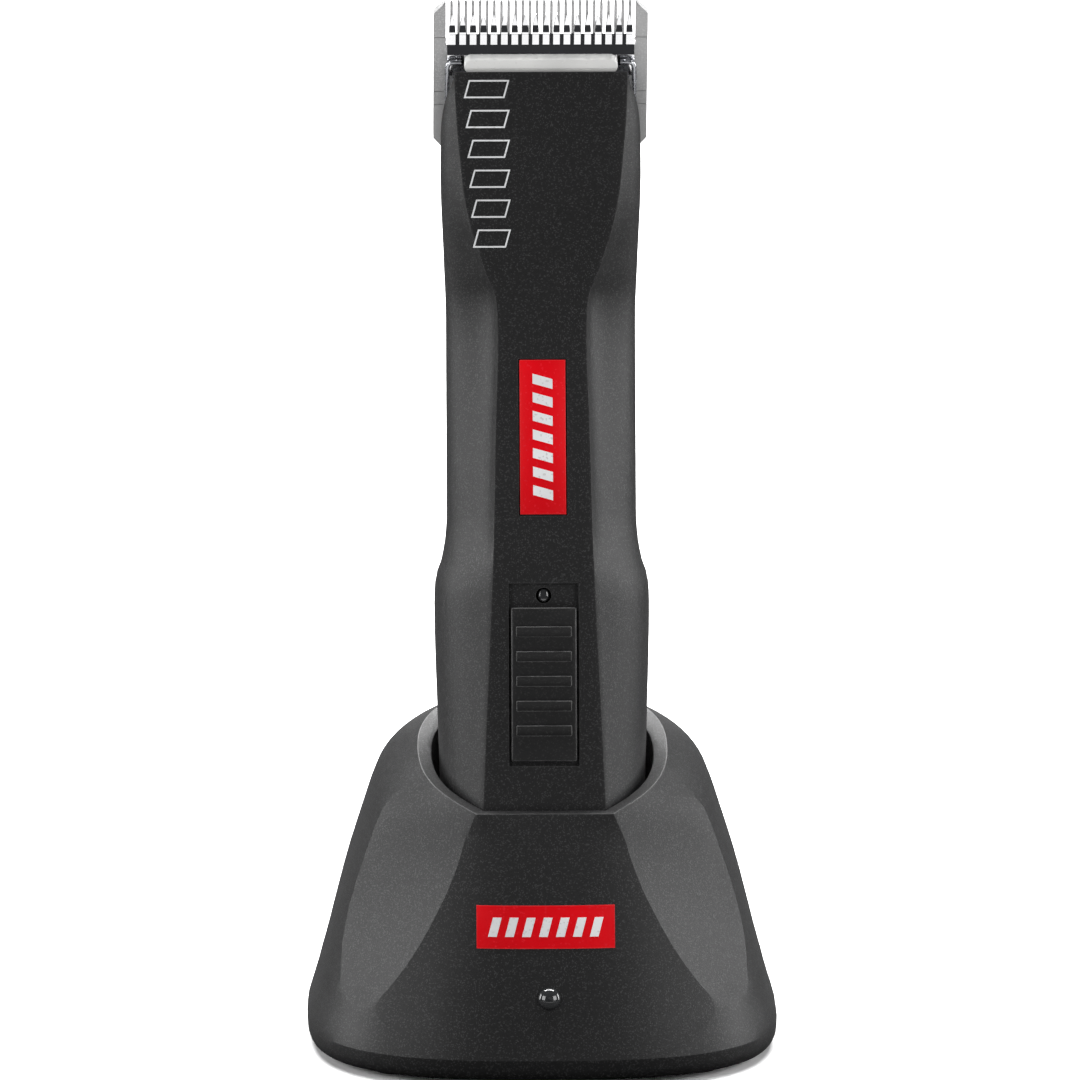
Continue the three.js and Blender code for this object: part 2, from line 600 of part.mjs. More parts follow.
function makeHousings() {
  const seatCut = inBlade(bladeBlock(60, [-30, seatLength], [-60, seatLevel]));
  const hingePocket = inBlade(bladeBlock(9.4, [hingeFar - 3.4, hingeFar + 4.4], [0, seatLevel + 2.8]));
  const latchHole = inBlade(bladeBlock(latchHalfWidth + gap, [latchNear - gap, latchFar + gap], [-4, 15]));
  let shell = bodySolid.subtract(bodyCavity).subtract(seatCut).subtract(hingePocket).subtract(latchHole);
  const boss = (x, station) => bar(3.2, 50, 'y', [x, 0, station], 16);
  screwRows.forEach(([x, station]) => {
    shell = shell.add(boss(x, station).intersect(bodySolid));
  });
  screwRows.forEach(([x, station]) => {
    shell = shell.subtract(bar(1.6, 30, 'y', [x, 6, station], 16));
    shell = shell.subtract(bar(2.9, 40, 'y', [x, screwHeadDepth + 20, station], 16));
  });
  const front = shell.intersect(block([-60, -60, -10], [60, seamDepth - 0.1, 300]))
    .subtract(block([-recessHalfWidth, -60, switchMiddle - recessHalfLength],
      [recessHalfWidth, -facetDepth + recessDepth, switchMiddle + recessHalfLength]))
    .subtract(block([-stemHalfWidth - gap, -60, stemStation - stemHalfLength - gap],
      [stemHalfWidth + gap, -10, stemStation + stemHalfLength + switchTravel + gap]))
    .subtract(bar(1.5 + gap, 20, 'y', [0, -20, lensStation], 20))
    .subtract(moved(block([-badgeHalfWidth - gap, -5, -badgeHalfLength - gap],
      [badgeHalfWidth + gap, 0.7, badgeHalfLength + gap]), badgeFrame.matrix));
  const rear = shell.intersect(block([-60, seamDepth + 0.1, -10], [60, 60, 300]));
  return [front, rear];
}

const [frontHousing, rearHousing] = makeHousings();
place(clipper, 'front_housing', frontHousing, blackPlastic);
place(clipper, 'rear_housing', rearHousing, blackPlastic);
screwRows.forEach(([x, station], i) => {
  const screw = turned([[0, 0], [2.5, 0], [2.5, 1.7], [0, 1.7]], [0, 0, 0], 16)
    .add(bar(1.25, 15, 'z', [0, 0, -7], 12)).transform(
      new THREE.Matrix4().makeRotationX(-Math.PI / 2).setPosition(x, screwHeadDepth + gap, station).elements);
  place(clipper, `housing_screw_${i + 1}`, screw, steel);
});
place(badgeFrame, 'handle_badge', block([-badgeHalfWidth, -0.25, -badgeHalfLength],
  [badgeHalfWidth, 0.7 - gap, badgeHalfLength]), redEnamel);

function makeSlider() {
  const top = -facetDepth - 0.9;
  let slider = block([-sliderHalfWidth, top, sliderLow],
    [sliderHalfWidth, -facetDepth + recessDepth - gap, sliderLow + sliderLength]);
  for (let i = 0; i < 5; i += 1) {
    const station = sliderLow + 8 + i * 5.7;
    const ridge = [[top + 0.1, station - 3.6], [top - 0.8, station], [top + 0.1, station + 0.3]];
    slider = slider.add(sidePlate(ridge, 6.3));
  }
  return slider.add(block([-stemHalfWidth, -facetDepth, stemStation - stemHalfLength],
    [stemHalfWidth, -facetDepth + housingWall + 1.6, stemStation + stemHalfLength]));
}
place(clipper, 'switch_slider', makeSlider(), blackPlastic);
place(clipper, 'indicator_lens', bar(1.5, housingWall, 'y',
  [0, -facetDepth + recessDepth + housingWall / 2, lensStation], 20), clearLens);
const switchFront = -facetDepth + housingWall + 1.6 + gap;
const switchBody = block([-5, switchFront, stemStation - 10], [5, switchFront + 4, stemStation + 12]);
place(clipper, 'switch_module', switchBody, innerPlastic);
place(clipper, 'motor_board', block([-13, switchFront + 4.4, 32], [13, switchFront + 6, 68]), boardGreen);
const terminals = block([-5, -2, caseTop + 1.2], [5, 8, caseTop + 6]);
place(clipper, 'battery_terminals', terminals, innerPlastic);

// ---------------------------------------------------------------- motor and drive
const leverStation = head(46);
const forkStation = head(62);
const eccentricLow = forkStation - 8.2;
const motorTop = eccentricLow - 4.6;
const motorLow = motorTop - motorLength;
const shaftRadius = 1.5;

const motorCan = turned([[0, motorLow], [motorRadius, motorLow], [motorRadius, motorTop - 1.8],
  [motorRadius - 1.4, motorTop - 1.8], [motorRadius - 1.4, motorLow + 5], [5, motorLow + 5],
  [5, motorLow + 1.4], [0, motorLow + 1.4]]);
place(clipper, 'motor_can', motorCan, steel);
const endBell = turned([[4.6, motorTop - 1.5], [motorRadius, motorTop - 1.5], [motorRadius, motorTop],
  [shaftRadius + 1, motorTop], [shaftRadius + 1, motorTop - 0.5], [4.6, motorTop - 0.5]]);
place(clipper, 'motor_end_bell', endBell, innerPlastic);
const bearingRing = (low) => turned([[shaftRadius + gap, low], [4.2, low], [4.2, low + 2.6],
  [shaftRadius + gap, low + 2.6]], [0, 0, 0], 24);
place(clipper, 'rear_motor_bearing', bearingRing(motorLow + 1.8), steel);
place(clipper, 'front_motor_bearing', bearingRing(motorTop - 3.6), steel);
place(clipper, 'motor_rotor', turned([[0, motorLow + 1.9], [shaftRadius, motorLow + 1.9],
  [shaftRadius, motorLow + 9], [9, motorLow + 9], [9, motorTop - 9], [shaftRadius, motorTop - 9],
  [shaftRadius, eccentricLow + 3.4], [0, eccentricLow + 3.4]], [0, 0, 0], 24), steel);
const eccentric = turned([[shaftRadius + 0.2, eccentricLow], [5, eccentricLow], [5, eccentricLow + 5],
  [0, eccentricLow + 5], [0, eccentricLow + 3.7], [shaftRadius + 0.2, eccentricLow + 3.7]], [0, 0, 0], 24)
  .add(bar(1, 6.6, 'z', [crankThrow, 0, eccentricLow + 8], 12));
place(clipper, 'eccentric', eccentric, brass);
const crankBearing = turned([[1.25, eccentricLow + 5.6], [crankBearingRadius, eccentricLow + 5.6],
  [crankBearingRadius, eccentricLow + 10.8], [1.25, eccentricLow + 10.8]], [crankThrow, 0, 0], 20);
place(clipper, 'crank_bearing', crankBearing, steel);

const forkReach = leverStation - forkStation;
const forkSlot = 2 * crankThrow + crankBearingRadius + 0.35;
const forkArm = 2.4;
const hubFront = 4.7 - bladeSetBack;
const hubBack = hubFront + 7.4;
const leverBack = hubFront + 4;
function makeLever() {
  const hub = bar(4.4, hubBack - hubFront, 'y', [0, (hubBack + hubFront) / 2, leverStation], 24);
  const upper = sidePlate([[hubFront, leverStation], [leverBack, leverStation], [leverBack, head(33.4)],
    [hubFront + 0.6, head(27.9)], [hubFront, head(27.9)]], 3.2);
  const lower = sidePlate([[hubBack - 4.4, leverStation - 1], [hubBack, leverStation - 1],
    [hubBack + 0.4, leverStation - 4], [3, forkStation + 5.4], [3, forkStation - 2.4],
    [-3, forkStation - 2.4], [-3, forkStation + 5.4]], forkSlot + forkArm);
  const neck = block([-20, -20, forkStation + 5.6], [-4.6, 20, leverStation + 9]);
  const slot = block([-forkSlot, -9, forkStation - 9], [forkSlot, 9, forkStation + 3.4]);
  return hub.add(upper).add(lower.subtract(neck).subtract(neck.mirror([1, 0, 0]))).subtract(slot)
    .subtract(bar(1.5 + gap, 40, 'y', [0, 0, leverStation], 20));
}
place(clipper, 'drive_lever', makeLever(), aluminium);
const frameFront = -waistFacetDepth + housingWall + 0.5;
place(clipper, 'lever_pin', bar(1.5, hubBack - 0.3 - frameFront, 'y',
  [0, (hubBack - 0.3 + frameFront) / 2, leverStation], 16), steel);
const frameLow = motorTop + gap;
const driveFrame = turned([[6, frameLow], [motorRadius - 1.5, frameLow], [motorRadius - 1.5, frameLow + 2.6],
  [6, frameLow + 2.6]], [0, 0, 0], 28)
  .add(block([-6.5, frameFront, frameLow], [6.5, frameFront + 1.4, leverStation + 4]))
  .add(block([-6.5, frameFront, frameLow], [6.5, -8, frameLow + 2.6]))
  .intersect(block([-40, frameFront, 0], [40, 40, 300]))
  .intersect(handleSolid(innerStations, -housingWall - gap))
  .subtract(bar(1.5 + gap, 40, 'y', [0, 0, leverStation], 20));
place(clipper, 'drive_frame', driveFrame, aluminium);

const tipFar = 28.5;
const tipRadius = 2;
place(blade, 'drive_tip', turned([[0, -9.9], [tipRadius, -9.9], [tipRadius, -4.4], [tipRadius - 0.4, -4],
  [0, -4]], [0, tipFar, 0], 20), whitePlastic);

// ---------------------------------------------------------------- blade seat and hinge
const plateFar = hingeFar - 3.8;
const headPlate = bladeBlock(20.4, [16.9, plateFar], [7.9, 9.2])
  .subtract(bladeBlock(4.9, [tipFar - 3.6, tipFar + 3.6], [0, 20]));
place(blade, 'head_plate', headPlate, steel);
const earLow = hingeFar - 2.9;
const earHigh = hingeFar + 3.6;
let bracket = bladeBlock(8.8, [earLow, earHigh], [seatLevel + 1.2, seatLevel + 2.2]);
sides.forEach(([, side]) => {
  const [x0, x1] = [side * 5.7, side * 8.8].sort((a, b) => a - b);
  bracket = bracket.add(block([x0, earLow, -seatLevel - 2], [x1, earHigh, -hingeDeep + 2.4]));
});
const hingeRadius = 1.2;
const hingeHole = bar(hingeRadius + gap, 30, 'x', [0, hingeFar, -hingeDeep], 16);
place(blade, 'hinge_bracket', bracket.subtract(hingeHole), steel);
place(blade, 'hinge_pin', bar(hingeRadius, 17.4, 'x', [0, hingeFar, -hingeDeep], 16), polishedSteel);
const knuckle = 2.7;
const tongue = bladeBlock(5, [combLength - 6.5, hingeFar], [4.9, 6.1])
  .add(bar(knuckle, 10.6, 'x', [0, hingeFar, -hingeDeep], 20))
  .subtract(hingeHole);
place(blade, 'hinge_tongue', tongue, steel);
const releaseButton = bladeBlock(latchHalfWidth, [latchNear, latchFar], [6.6, 10.9]);
place(blade, 'blade_release_button', releaseButton, innerPlastic);

// ---------------------------------------------------------------- blade set
const bladeScrewX = 12;
const bladeScrewFar = combLength - 4.5;
const screwHole = 1.7;
const cutterDeep = combThickness + gap;
const cutterBack = 18;

// Comb outline: two cheeks with chamfered corners, and narrow teeth between them.
function makeComb() {
  const w = combHalfWidth;
  const outline = [[-w, 3], [-w, combLength - 6], [-w + 5, combLength], [w - 5, combLength],
    [w, combLength - 6], [w, 3], [w - 2.9, 0]];
  let comb = plate(outline.concat([[-w + 2.9, 0]]), -combThickness, 0);
  for (let i = 0; i <= combTeeth; i += 1) {
    const middle = (i - combTeeth / 2) * combPitch;
    const half = (combPitch - combToothWidth) / 2;
    comb = comb.subtract(block([middle - half, -1, -9], [middle + half, combToothLength, 9]));
  }
  sides.forEach(([, side]) => {
    comb = comb.subtract(bar(screwHole, 20, 'z', [side * bladeScrewX, bladeScrewFar, 0], 16));
  });
  return comb;
}

function makeCutter() {
  const pitch = (2 * cutterHalfWidth - 0.6) / (cutterTeeth - 0.3);
  const points = [];
  for (let i = 0; i < cutterTeeth; i += 1) {
    const middle = (i - (cutterTeeth - 1) / 2) * pitch;
    const half = pitch * 0.31;
    points.push([middle - half, cutterSetBack + 8.6], [middle - half, cutterSetBack + 3.6],
      [middle, cutterSetBack], [middle + half, cutterSetBack + 3.6], [middle + half, cutterSetBack + 8.6]);
  }
  const w = cutterHalfWidth;
  const outline = [...points, [w, cutterSetBack + 9.5], [w, cutterBack], [8, cutterBack], [8, tipFar + 3],
    [-8, tipFar + 3], [-8, cutterBack], [-w, cutterBack], [-w, cutterSetBack + 9.5]];
  return plate(outline, -cutterDeep - cutterThickness, -cutterDeep)
    .subtract(bladeBlock(tipRadius + 0.5, [tipFar - tipRadius - 1, tipFar + 9], [0, 20]));
}

function makeSpring() {
  const deep = -6.5;
  const arm = cutterHalfWidth;
  const corners = [[-18.4, 14], [-arm, 14], [-arm, 27], [-13, 33.2],
    [13, 33.2], [arm, 27], [arm, 14], [18.4, 14]];
  const path = new THREE.CurvePath();
  const at = ([x, y]) => new THREE.Vector3(x, y, deep);
  corners.slice(1).forEach((corner, i) => path.add(new THREE.LineCurve3(at(corners[i]), at(corner))));
  const rounded = new THREE.CatmullRomCurve3(path.getSpacedPoints(26), false);
  const wire = new THREE.Shape().absarc(0, 0, 0.6, 0, 2 * Math.PI);
  return solidOf(new THREE.ExtrudeGeometry(wire, { steps: 36, curveSegments: 3, extrudePath: rounded }));
}

place(blade, 'comb_blade', makeComb(), steel);
place(blade, 'cutter_blade', makeCutter(), polishedSteel);
place(blade, 'tension_spring', makeSpring(), steel);
const guideDeep = cutterDeep + cutterThickness + gap;
place(blade, 'guide_bar', bladeBlock(17.7, [12.2, 15.9], [guideDeep, 8.6]), whitePlastic);
const socketDeep = cutterDeep;
let bladeSocket = bladeBlock(8, [combLength - 7.2, combLength + 0.4], [socketDeep, 7.4])
  .subtract(bladeBlock(5.4, [combLength - 6.9, combLength + 9], [4.5, 6.5]))
  .add(bladeBlock(16, [combLength - 7.2, combLength - 1.2], [socketDeep, socketDeep + 1.2])
    .subtract(bladeBlock(7.9, [combLength - 9, combLength + 9], [0, 20])));
sides.forEach(([, side]) => {
  bladeSocket = bladeSocket.subtract(bar(screwHole, 20, 'z', [side * bladeScrewX, bladeScrewFar, 0], 16));
});
place(blade, 'blade_socket', bladeSocket, steel);
sides.forEach(([label, side]) => {
  const low = socketDeep + 1.2 + gap;
  const screw = turned([[0, -low - 1.6], [2.4, -low - 1.6], [2.6, -low - 1.2], [2.6, -low], [1.4, -low],
    [1.4, -0.6], [0, -0.6]], [side * bladeScrewX, bladeScrewFar, 0], 20);
  place(blade, `blade_screw_${label}`, screw, steel);
});

export default model;
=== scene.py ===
"""Looks of the cordless hair clipper and its charging stand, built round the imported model."""
import json
from math import acos, atan, cos, pi, radians, sin, tan

import bmesh
import bpy
from mathutils import Matrix, Vector


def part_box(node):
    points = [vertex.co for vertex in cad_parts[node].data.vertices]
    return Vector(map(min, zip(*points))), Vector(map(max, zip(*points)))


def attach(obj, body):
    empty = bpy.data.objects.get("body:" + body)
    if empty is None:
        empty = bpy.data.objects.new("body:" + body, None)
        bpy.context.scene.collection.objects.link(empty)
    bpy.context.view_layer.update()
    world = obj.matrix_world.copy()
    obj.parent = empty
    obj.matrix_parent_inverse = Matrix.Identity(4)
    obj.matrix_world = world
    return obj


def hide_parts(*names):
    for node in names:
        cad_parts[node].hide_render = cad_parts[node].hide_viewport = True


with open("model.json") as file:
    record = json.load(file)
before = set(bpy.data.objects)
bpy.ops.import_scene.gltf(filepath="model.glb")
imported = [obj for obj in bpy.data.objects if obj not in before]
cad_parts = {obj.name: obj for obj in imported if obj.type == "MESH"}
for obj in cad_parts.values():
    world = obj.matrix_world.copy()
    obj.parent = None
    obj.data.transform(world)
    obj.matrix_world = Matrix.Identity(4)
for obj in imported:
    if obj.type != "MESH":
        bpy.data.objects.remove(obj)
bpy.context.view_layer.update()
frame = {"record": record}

JOINTS = {joint["name"]: joint for joint in frame["record"]["behaviour"]["joints"]}

# ---------------------------------------------------------------- places from the frame
MM = Matrix.Scale(0.001, 4)
IN_MM = 1000.0


def place_from(origin, right, along, up):
    """A frame in metres whose drawings are in millimetres."""
    turn = Matrix((right, along, up)).transposed().to_4x4()
    return Matrix.Translation(origin) @ turn @ MM


RIGHT = Vector((1, 0, 0))
AXIS = Vector(JOINTS["battery_lift"]["axis"]).normalized()
BACK = Vector(JOINTS["lever_swing"]["axis"]).normalized()
SPIN_STATION = 110
CLIPPER = place_from(Vector(JOINTS["rotor_spin"]["pos_m"]) - AXIS * SPIN_STATION / IN_MM, RIGHT, BACK, AXIS)

HINGE_FAR = 47
HINGE_DEEP = 7.6
DEEPER = Vector(JOINTS["release_press"]["axis"]).normalized()
TO_HEEL = (-DEEPER).cross(RIGHT)
BLADE = place_from(Vector(JOINTS["blade_hinge"]["pos_m"]) - TO_HEEL * HINGE_FAR / IN_MM - DEEPER * HINGE_DEEP / IN_MM,
                   RIGHT, TO_HEEL, -DEEPER)
STAND = MM

# ---------------------------------------------------------------- sizes in millimetres
GRIP = 24.95
WAIST = 22.0
HEAD = 23.2
LENGTH = 212
FACET_DEPTH = 21
WAIST_FACET_DEPTH = 17.2
WAIST_BACK = 17.5
SWELL = 73
WAIST_LOW = 88
WALL = 2.2
CAP_HEIGHT = 22
GAP = 0.3
SEAM = 1
BACK_SQUARENESS = 2.4

STAND_WIDTH = 54.7
STAND_DEPTH = 54.9
STAND_WALL = 2.6
STAND_SQUARENESS = 2.8
RIM_FRONT = 60
RIM_SLOPE = tan(radians(19))
RIM_WIDTH = 3.4
SOCKET_SIDE = 1.6
SOCKET_GAP = 0.9
SHOULDER = 4.5
SHELL_BOTTOM = 1.2


def below_tips(distance):
    return LENGTH - distance


HEAD_EDGE = below_tips(17.5)
WAIST_HIGH = below_tips(74)


# ---------------------------------------------------------------- smooth curves
def curve_through(rows):
    """A smooth curve through [position, value] rows, level at both ends."""
    def slope(i):
        if i <= 0 or i >= len(rows) - 1:
            return 0
        before = (rows[i][1] - rows[i - 1][1]) / (rows[i][0] - rows[i - 1][0])
        after = (rows[i + 1][1] - rows[i][1]) / (rows[i + 1][0] - rows[i][0])
        return 0 if before * after <= 0 else 2 * before * after / (before + after)

    def value(at):
        if at <= rows[0][0]:
            return rows[0][1]
        if at >= rows[-1][0]:
            return rows[-1][1]
        k = next(i for i, row in enumerate(rows) if row[0] >= at)
        span = rows[k][0] - rows[k - 1][0]
        t = (at - rows[k - 1][0]) / span
        return (rows[k - 1][1] * (1 + 2 * t) * (1 - t) ** 2 + rows[k][1] * t * t * (3 - 2 * t)
                + span * (slope(k - 1) * t * (1 - t) ** 2 - slope(k) * t * t * (1 - t)))
    return value


half_width_at = curve_through([
    (0, GRIP - 1.9), (36, GRIP - 1), (SWELL, GRIP), (SWELL + 5, GRIP - 0.3), (SWELL + 9.6, WAIST + 1.2),
    (WAIST_LOW, WAIST + 0.3), (WAIST_LOW + 5, WAIST), (WAIST_HIGH, WAIST), (below_tips(60), WAIST + 0.5),
    (below_tips(41), HEAD), (below_tips(32), HEAD - 0.1), (below_tips(24), HEAD - 0.7),
    (below_tips(21.5), HEAD - 1.3), (below_tips(19.2), HEAD - 2.2), (HEAD_EDGE, HEAD - 3.1)])
facet_half_width_at = curve_through([
    (0, 14.9), (34.8, 13.7), (WAIST_LOW - 2, 11.5), (below_tips(100), 10.9), (WAIST_HIGH - 6, 10.3),
    (WAIST_HIGH, 10.4), (below_tips(69), 10.9), (below_tips(65.6), 12.4), (below_tips(59.3), 14.6),
    (below_tips(52.8), 16.6), (below_tips(45), 18), (below_tips(37.4), 18.8), (below_tips(29.4), 19.5),
    (HEAD_EDGE, 20)])
front_at = curve_through([
    (0, -FACET_DEPTH), (SWELL + 8, -FACET_DEPTH), (SWELL + 16, -FACET_DEPTH + 0.5),
    (WAIST_HIGH - 8, -WAIST_FACET_DEPTH - 0.4), (WAIST_HIGH, -WAIST_FACET_DEPTH),
    (HEAD_EDGE, -WAIST_FACET_DEPTH - 0.3)])
back_at = curve_through([
    (0, 19.5), (SWELL, 21), (WAIST_LOW + 6, WAIST_BACK + 0.6), (WAIST_HIGH - 8, WAIST_BACK),
    (below_tips(70), WAIST_BACK - 3), (below_tips(60), WAIST_BACK - 8), (below_tips(46), 2.6),
    (below_tips(40), -0.8), (HEAD_EDGE, -6)])
scoop_at = curve_through([
    (0, 0), (SWELL, 0.05), (WAIST_LOW + 4, 0.75), (WAIST_HIGH, 1), (below_tips(60), 0.8), (below_tips(45), 0.25),
    (HEAD_EDGE, 0.1)])


def mirrored(half):
    """A closed ring from its right half, front centre to back centre."""
    return half + [(-x, y) for x, y in reversed(half[1:-1])]


def cubic(start, lead, follow, end, t):
    u = 1 - t
    return tuple(a * u ** 3 + 3 * b * u * u * t + 3 * c * u * t * t + d * t ** 3
                 for a, b, c, d in zip(start, lead, follow, end))


def handle_outline(station, margin=0.0, side_margin=None, steps=(5, 22, 22)):
    """The clipper's outline at a station, grown by a margin."""
    facet_steps, flank_steps, back_steps = steps
    width = half_width_at(station) + (margin if side_margin is None else side_margin)
    facet = facet_half_width_at(station) + margin * 0.55
    front = front_at(station) - margin
    back = back_at(station) + margin
    middle = min(2, (front + back) / 2 + 1)
    scoop = scoop_at(station)
    run = (width - facet, middle - front)
    lead = (facet + run[0] * (0.5 - 0.42 * scoop), front + run[1] * (0.24 + 0.18 * scoop))
    follow = (width, middle - run[1] * (0.55 - 0.1 * scoop))
    half = [(facet * i / facet_steps, front) for i in range(facet_steps)]
    half.append((facet - 0.35, front))
    half.append((facet - 0.06, front + 0.05))
    half += [cubic((facet, front), lead, follow, (width, middle), 0.015 + 0.985 * i / flank_steps)
             for i in range(flank_steps)]
    for i in range(back_steps + 1):
        turn = i / back_steps * pi / 2
        half.append((width * abs(cos(turn)) ** (2 / BACK_SQUARENESS),
                     middle + (back - middle) * sin(turn) ** (2 / BACK_SQUARENESS)))
    half[-1] = (0, back)
    return mirrored(half)


# ---------------------------------------------------------------- mesh helpers
def skin(rings):
    """A closed skin over rings of points, with flat ends."""
    bm = bmesh.new()
    loops = []
    for ring in rings:
        verts = [bm.verts.new(point) for point in ring]
        loops.append(verts)
    for lower, upper in zip(loops, loops[1:]):
        for i in range(len(lower)):
            j = (i + 1) % len(lower)
            bm.faces.new((lower[i], lower[j], upper[j], upper[i]))
    bm.faces.new(list(reversed(loops[0])))
    bm.faces.new(loops[-1])
    bmesh.ops.recalc_face_normals(bm, faces=bm.faces)
    return bm


def handle_bm(stations, margin=0.0, side_margin=None):
    return skin([[(x, y, station) for x, y in handle_outline(station, margin, side_margin)]
                 for station in stations])


def box_bm(low, high, bevel=0.0, segments=2):
    bm = bmesh.new()
    bmesh.ops.create_cube(bm, size=1)
    size = [b - a for a, b in zip(low, high)]
    middle = [(a + b) / 2 for a, b in zip(low, high)]
    bmesh.ops.scale(bm, vec=size, verts=bm.verts)
    bmesh.ops.translate(bm, vec=middle, verts=bm.verts)
    if bevel:
        bmesh.ops.bevel(bm, geom=bm.edges[:], offset=bevel, segments=segments, profile=0.5, affect="EDGES",
                        material=-1)
    return bm


def rod_bm(radius, length, axis, centre, sides=48):
    bm = bmesh.new()
    bmesh.ops.create_cone(bm, cap_ends=True, segments=sides, radius1=radius, radius2=radius, depth=length)
    turn = {"x": Matrix.Rotation(pi / 2, 4, "Y"), "y": Matrix.Rotation(pi / 2, 4, "X"), "z": Matrix.Identity(4)}
    bmesh.ops.transform(bm, matrix=Matrix.Translation(centre) @ turn[axis], verts=bm.verts)
    return bm


def turned_bm(profile, sides=48):
    """A body of revolution about Z from (radius, height) points that start and end on the axis."""
    bm = bmesh.new()
    verts = [bm.verts.new((r, 0, h)) for r, h in profile]
    edges = [bm.edges.new(pair) for pair in zip(verts, verts[1:])]
    bmesh.ops.spin(bm, geom=verts + edges, cent=(0, 0, 0), axis=(0, 0, 1), angle=2 * pi, steps=sides,
                   use_merge=True)
    bmesh.ops.remove_doubles(bm, verts=bm.verts, dist=1e-4)
    bmesh.ops.recalc_face_normals(bm, faces=bm.faces)
    return bm


def slab_bm(outline, low, high, bevel=0.0, segments=2):
    """An outline of (x, y) points raised from one height to another."""
    bm = bmesh.new()
    face = bm.faces.new([bm.verts.new((x, y, low)) for x, y in outline])
    raised = bmesh.ops.extrude_face_region(bm, geom=[face])["geom"]
    bmesh.ops.translate(bm, vec=(0, 0, high - low), verts=[v for v in raised if isinstance(v, bmesh.types.BMVert)])
    bmesh.ops.recalc_face_normals(bm, faces=bm.faces)
    if bevel:
        bmesh.ops.bevel(bm, geom=bm.edges[:], offset=bevel, segments=segments, profile=0.5, affect="EDGES",
                        material=-1, clamp_overlap=True)
    return bm


def to_object(bm, name, place):
    bmesh.ops.transform(bm, matrix=place, verts=bm.verts)
    mesh = bpy.data.meshes.new(name)
    bm.to_mesh(mesh)
    bm.free()
    obj = bpy.data.objects.new(name, mesh)
    bpy.context.scene.collection.objects.link(obj)
    return obj


def combine(obj, tool, operation="DIFFERENCE"):
    """Cuts, joins or intersects an object with another, which is used up."""
    modifier = obj.modifiers.new("combine", "BOOLEAN")
    modifier.operation, modifier.object, modifier.solver = operation, tool, "MANIFOLD"
    result = bpy.data.meshes.new_from_object(obj.evaluated_get(bpy.context.evaluated_depsgraph_get()))
    obj.modifiers.clear()
    old = obj.data
    obj.data = result
    bpy.data.meshes.remove(old)
    bpy.data.objects.remove(tool)
    return obj


def carve(obj, cutters, operation="DIFFERENCE"):
    """Combines an object with each (mesh, place) in turn."""
    for bm, place in cutters:
        combine(obj, to_object(bm, "tool", place), operation)
    return obj


def shade(obj, angle=28):
    obj.data.polygons.foreach_set("use_smooth", [True] * len(obj.data.polygons))
    obj.data.set_sharp_from_angle(angle=radians(angle))
    return obj


def dress(obj, material, body, slot, *nodes, angle=28):
    """Gives a piece its material and body, and hides the nodes that it stands for; the slot is not used."""
    obj.data.materials.clear()
    obj.data.materials.append(material)
    shade(obj, angle)
    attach(obj, body)
    if nodes:
        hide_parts(*nodes)
    return obj


# ---------------------------------------------------------------- stand shape
def world_mm(place, point):
    return (place @ Vector(point)) * IN_MM


def rim_ring(margin, side_margin, drop=0.0, station=40):
    """The clipper's outline carried along its axis onto the sloping rim plane."""
    ring = [world_mm(CLIPPER, (x, y, station)) for x, y in handle_outline(station, margin, side_margin)]
    nearest = min(p.y - (p.z - RIM_FRONT) * AXIS.y for p in ring)
    return [p + AXIS * ((RIM_FRONT - drop + (p.y - nearest) * RIM_SLOPE - p.z) / (AXIS.z - RIM_SLOPE * AXIS.y))
            for p in ring]


RIM_OUTER = rim_ring(SOCKET_GAP + RIM_WIDTH, SOCKET_SIDE + RIM_WIDTH)
RIM_BACK = max(RIM_OUTER, key=lambda p: p.y)
RIM_NEAR = min(RIM_OUTER, key=lambda p: p.y)
back_set_at = curve_through([
    (SHOULDER, STAND_DEPTH), (22, STAND_DEPTH * 0.92), (50, STAND_DEPTH * 0.775),
    (RIM_BACK.z - 13, STAND_DEPTH * 0.69), (RIM_BACK.z - 5, STAND_DEPTH * 0.57), (RIM_BACK.z, RIM_BACK.y)])
width_share_at = curve_through([
    (6, 1), (12, 0.97), (15, 0.952), (17, 0.942), (20, 0.924), (28, 0.88), (36, 0.834), (45, 0.77), (52, 0.713),
    (56.5, 0.655)])
facet_inner_at = curve_through([
    (6, 0.55), (12, 0.7), (15, 0.755), (17, 0.75), (20, 0.715), (28, 0.63), (36, 0.563), (45, 0.506), (52, 0.485),
    (56.5, 0.49)])
facet_outer_at = curve_through([(6, 0.8), (12, 0.88), (15, 0.9), (17, 0.915), (20, 0.93), (28, 0.96), (36, 0.965)])
facet_cut_at = curve_through([(15, 0), (18, 0.9), (20, 1), (36, 1), (45, 0.95), (52, 0.85), (56.5, 0.7)])


def rise_to_back(height):
    return (max(0, height - SHOULDER) / (RIM_FRONT - SHOULDER)) ** 1.5 * (RIM_BACK.z - RIM_FRONT)


def front_set_at(height):
    return -STAND_DEPTH + (STAND_DEPTH + RIM_NEAR.y) * (height - SHOULDER) / (RIM_FRONT - SHOULDER)


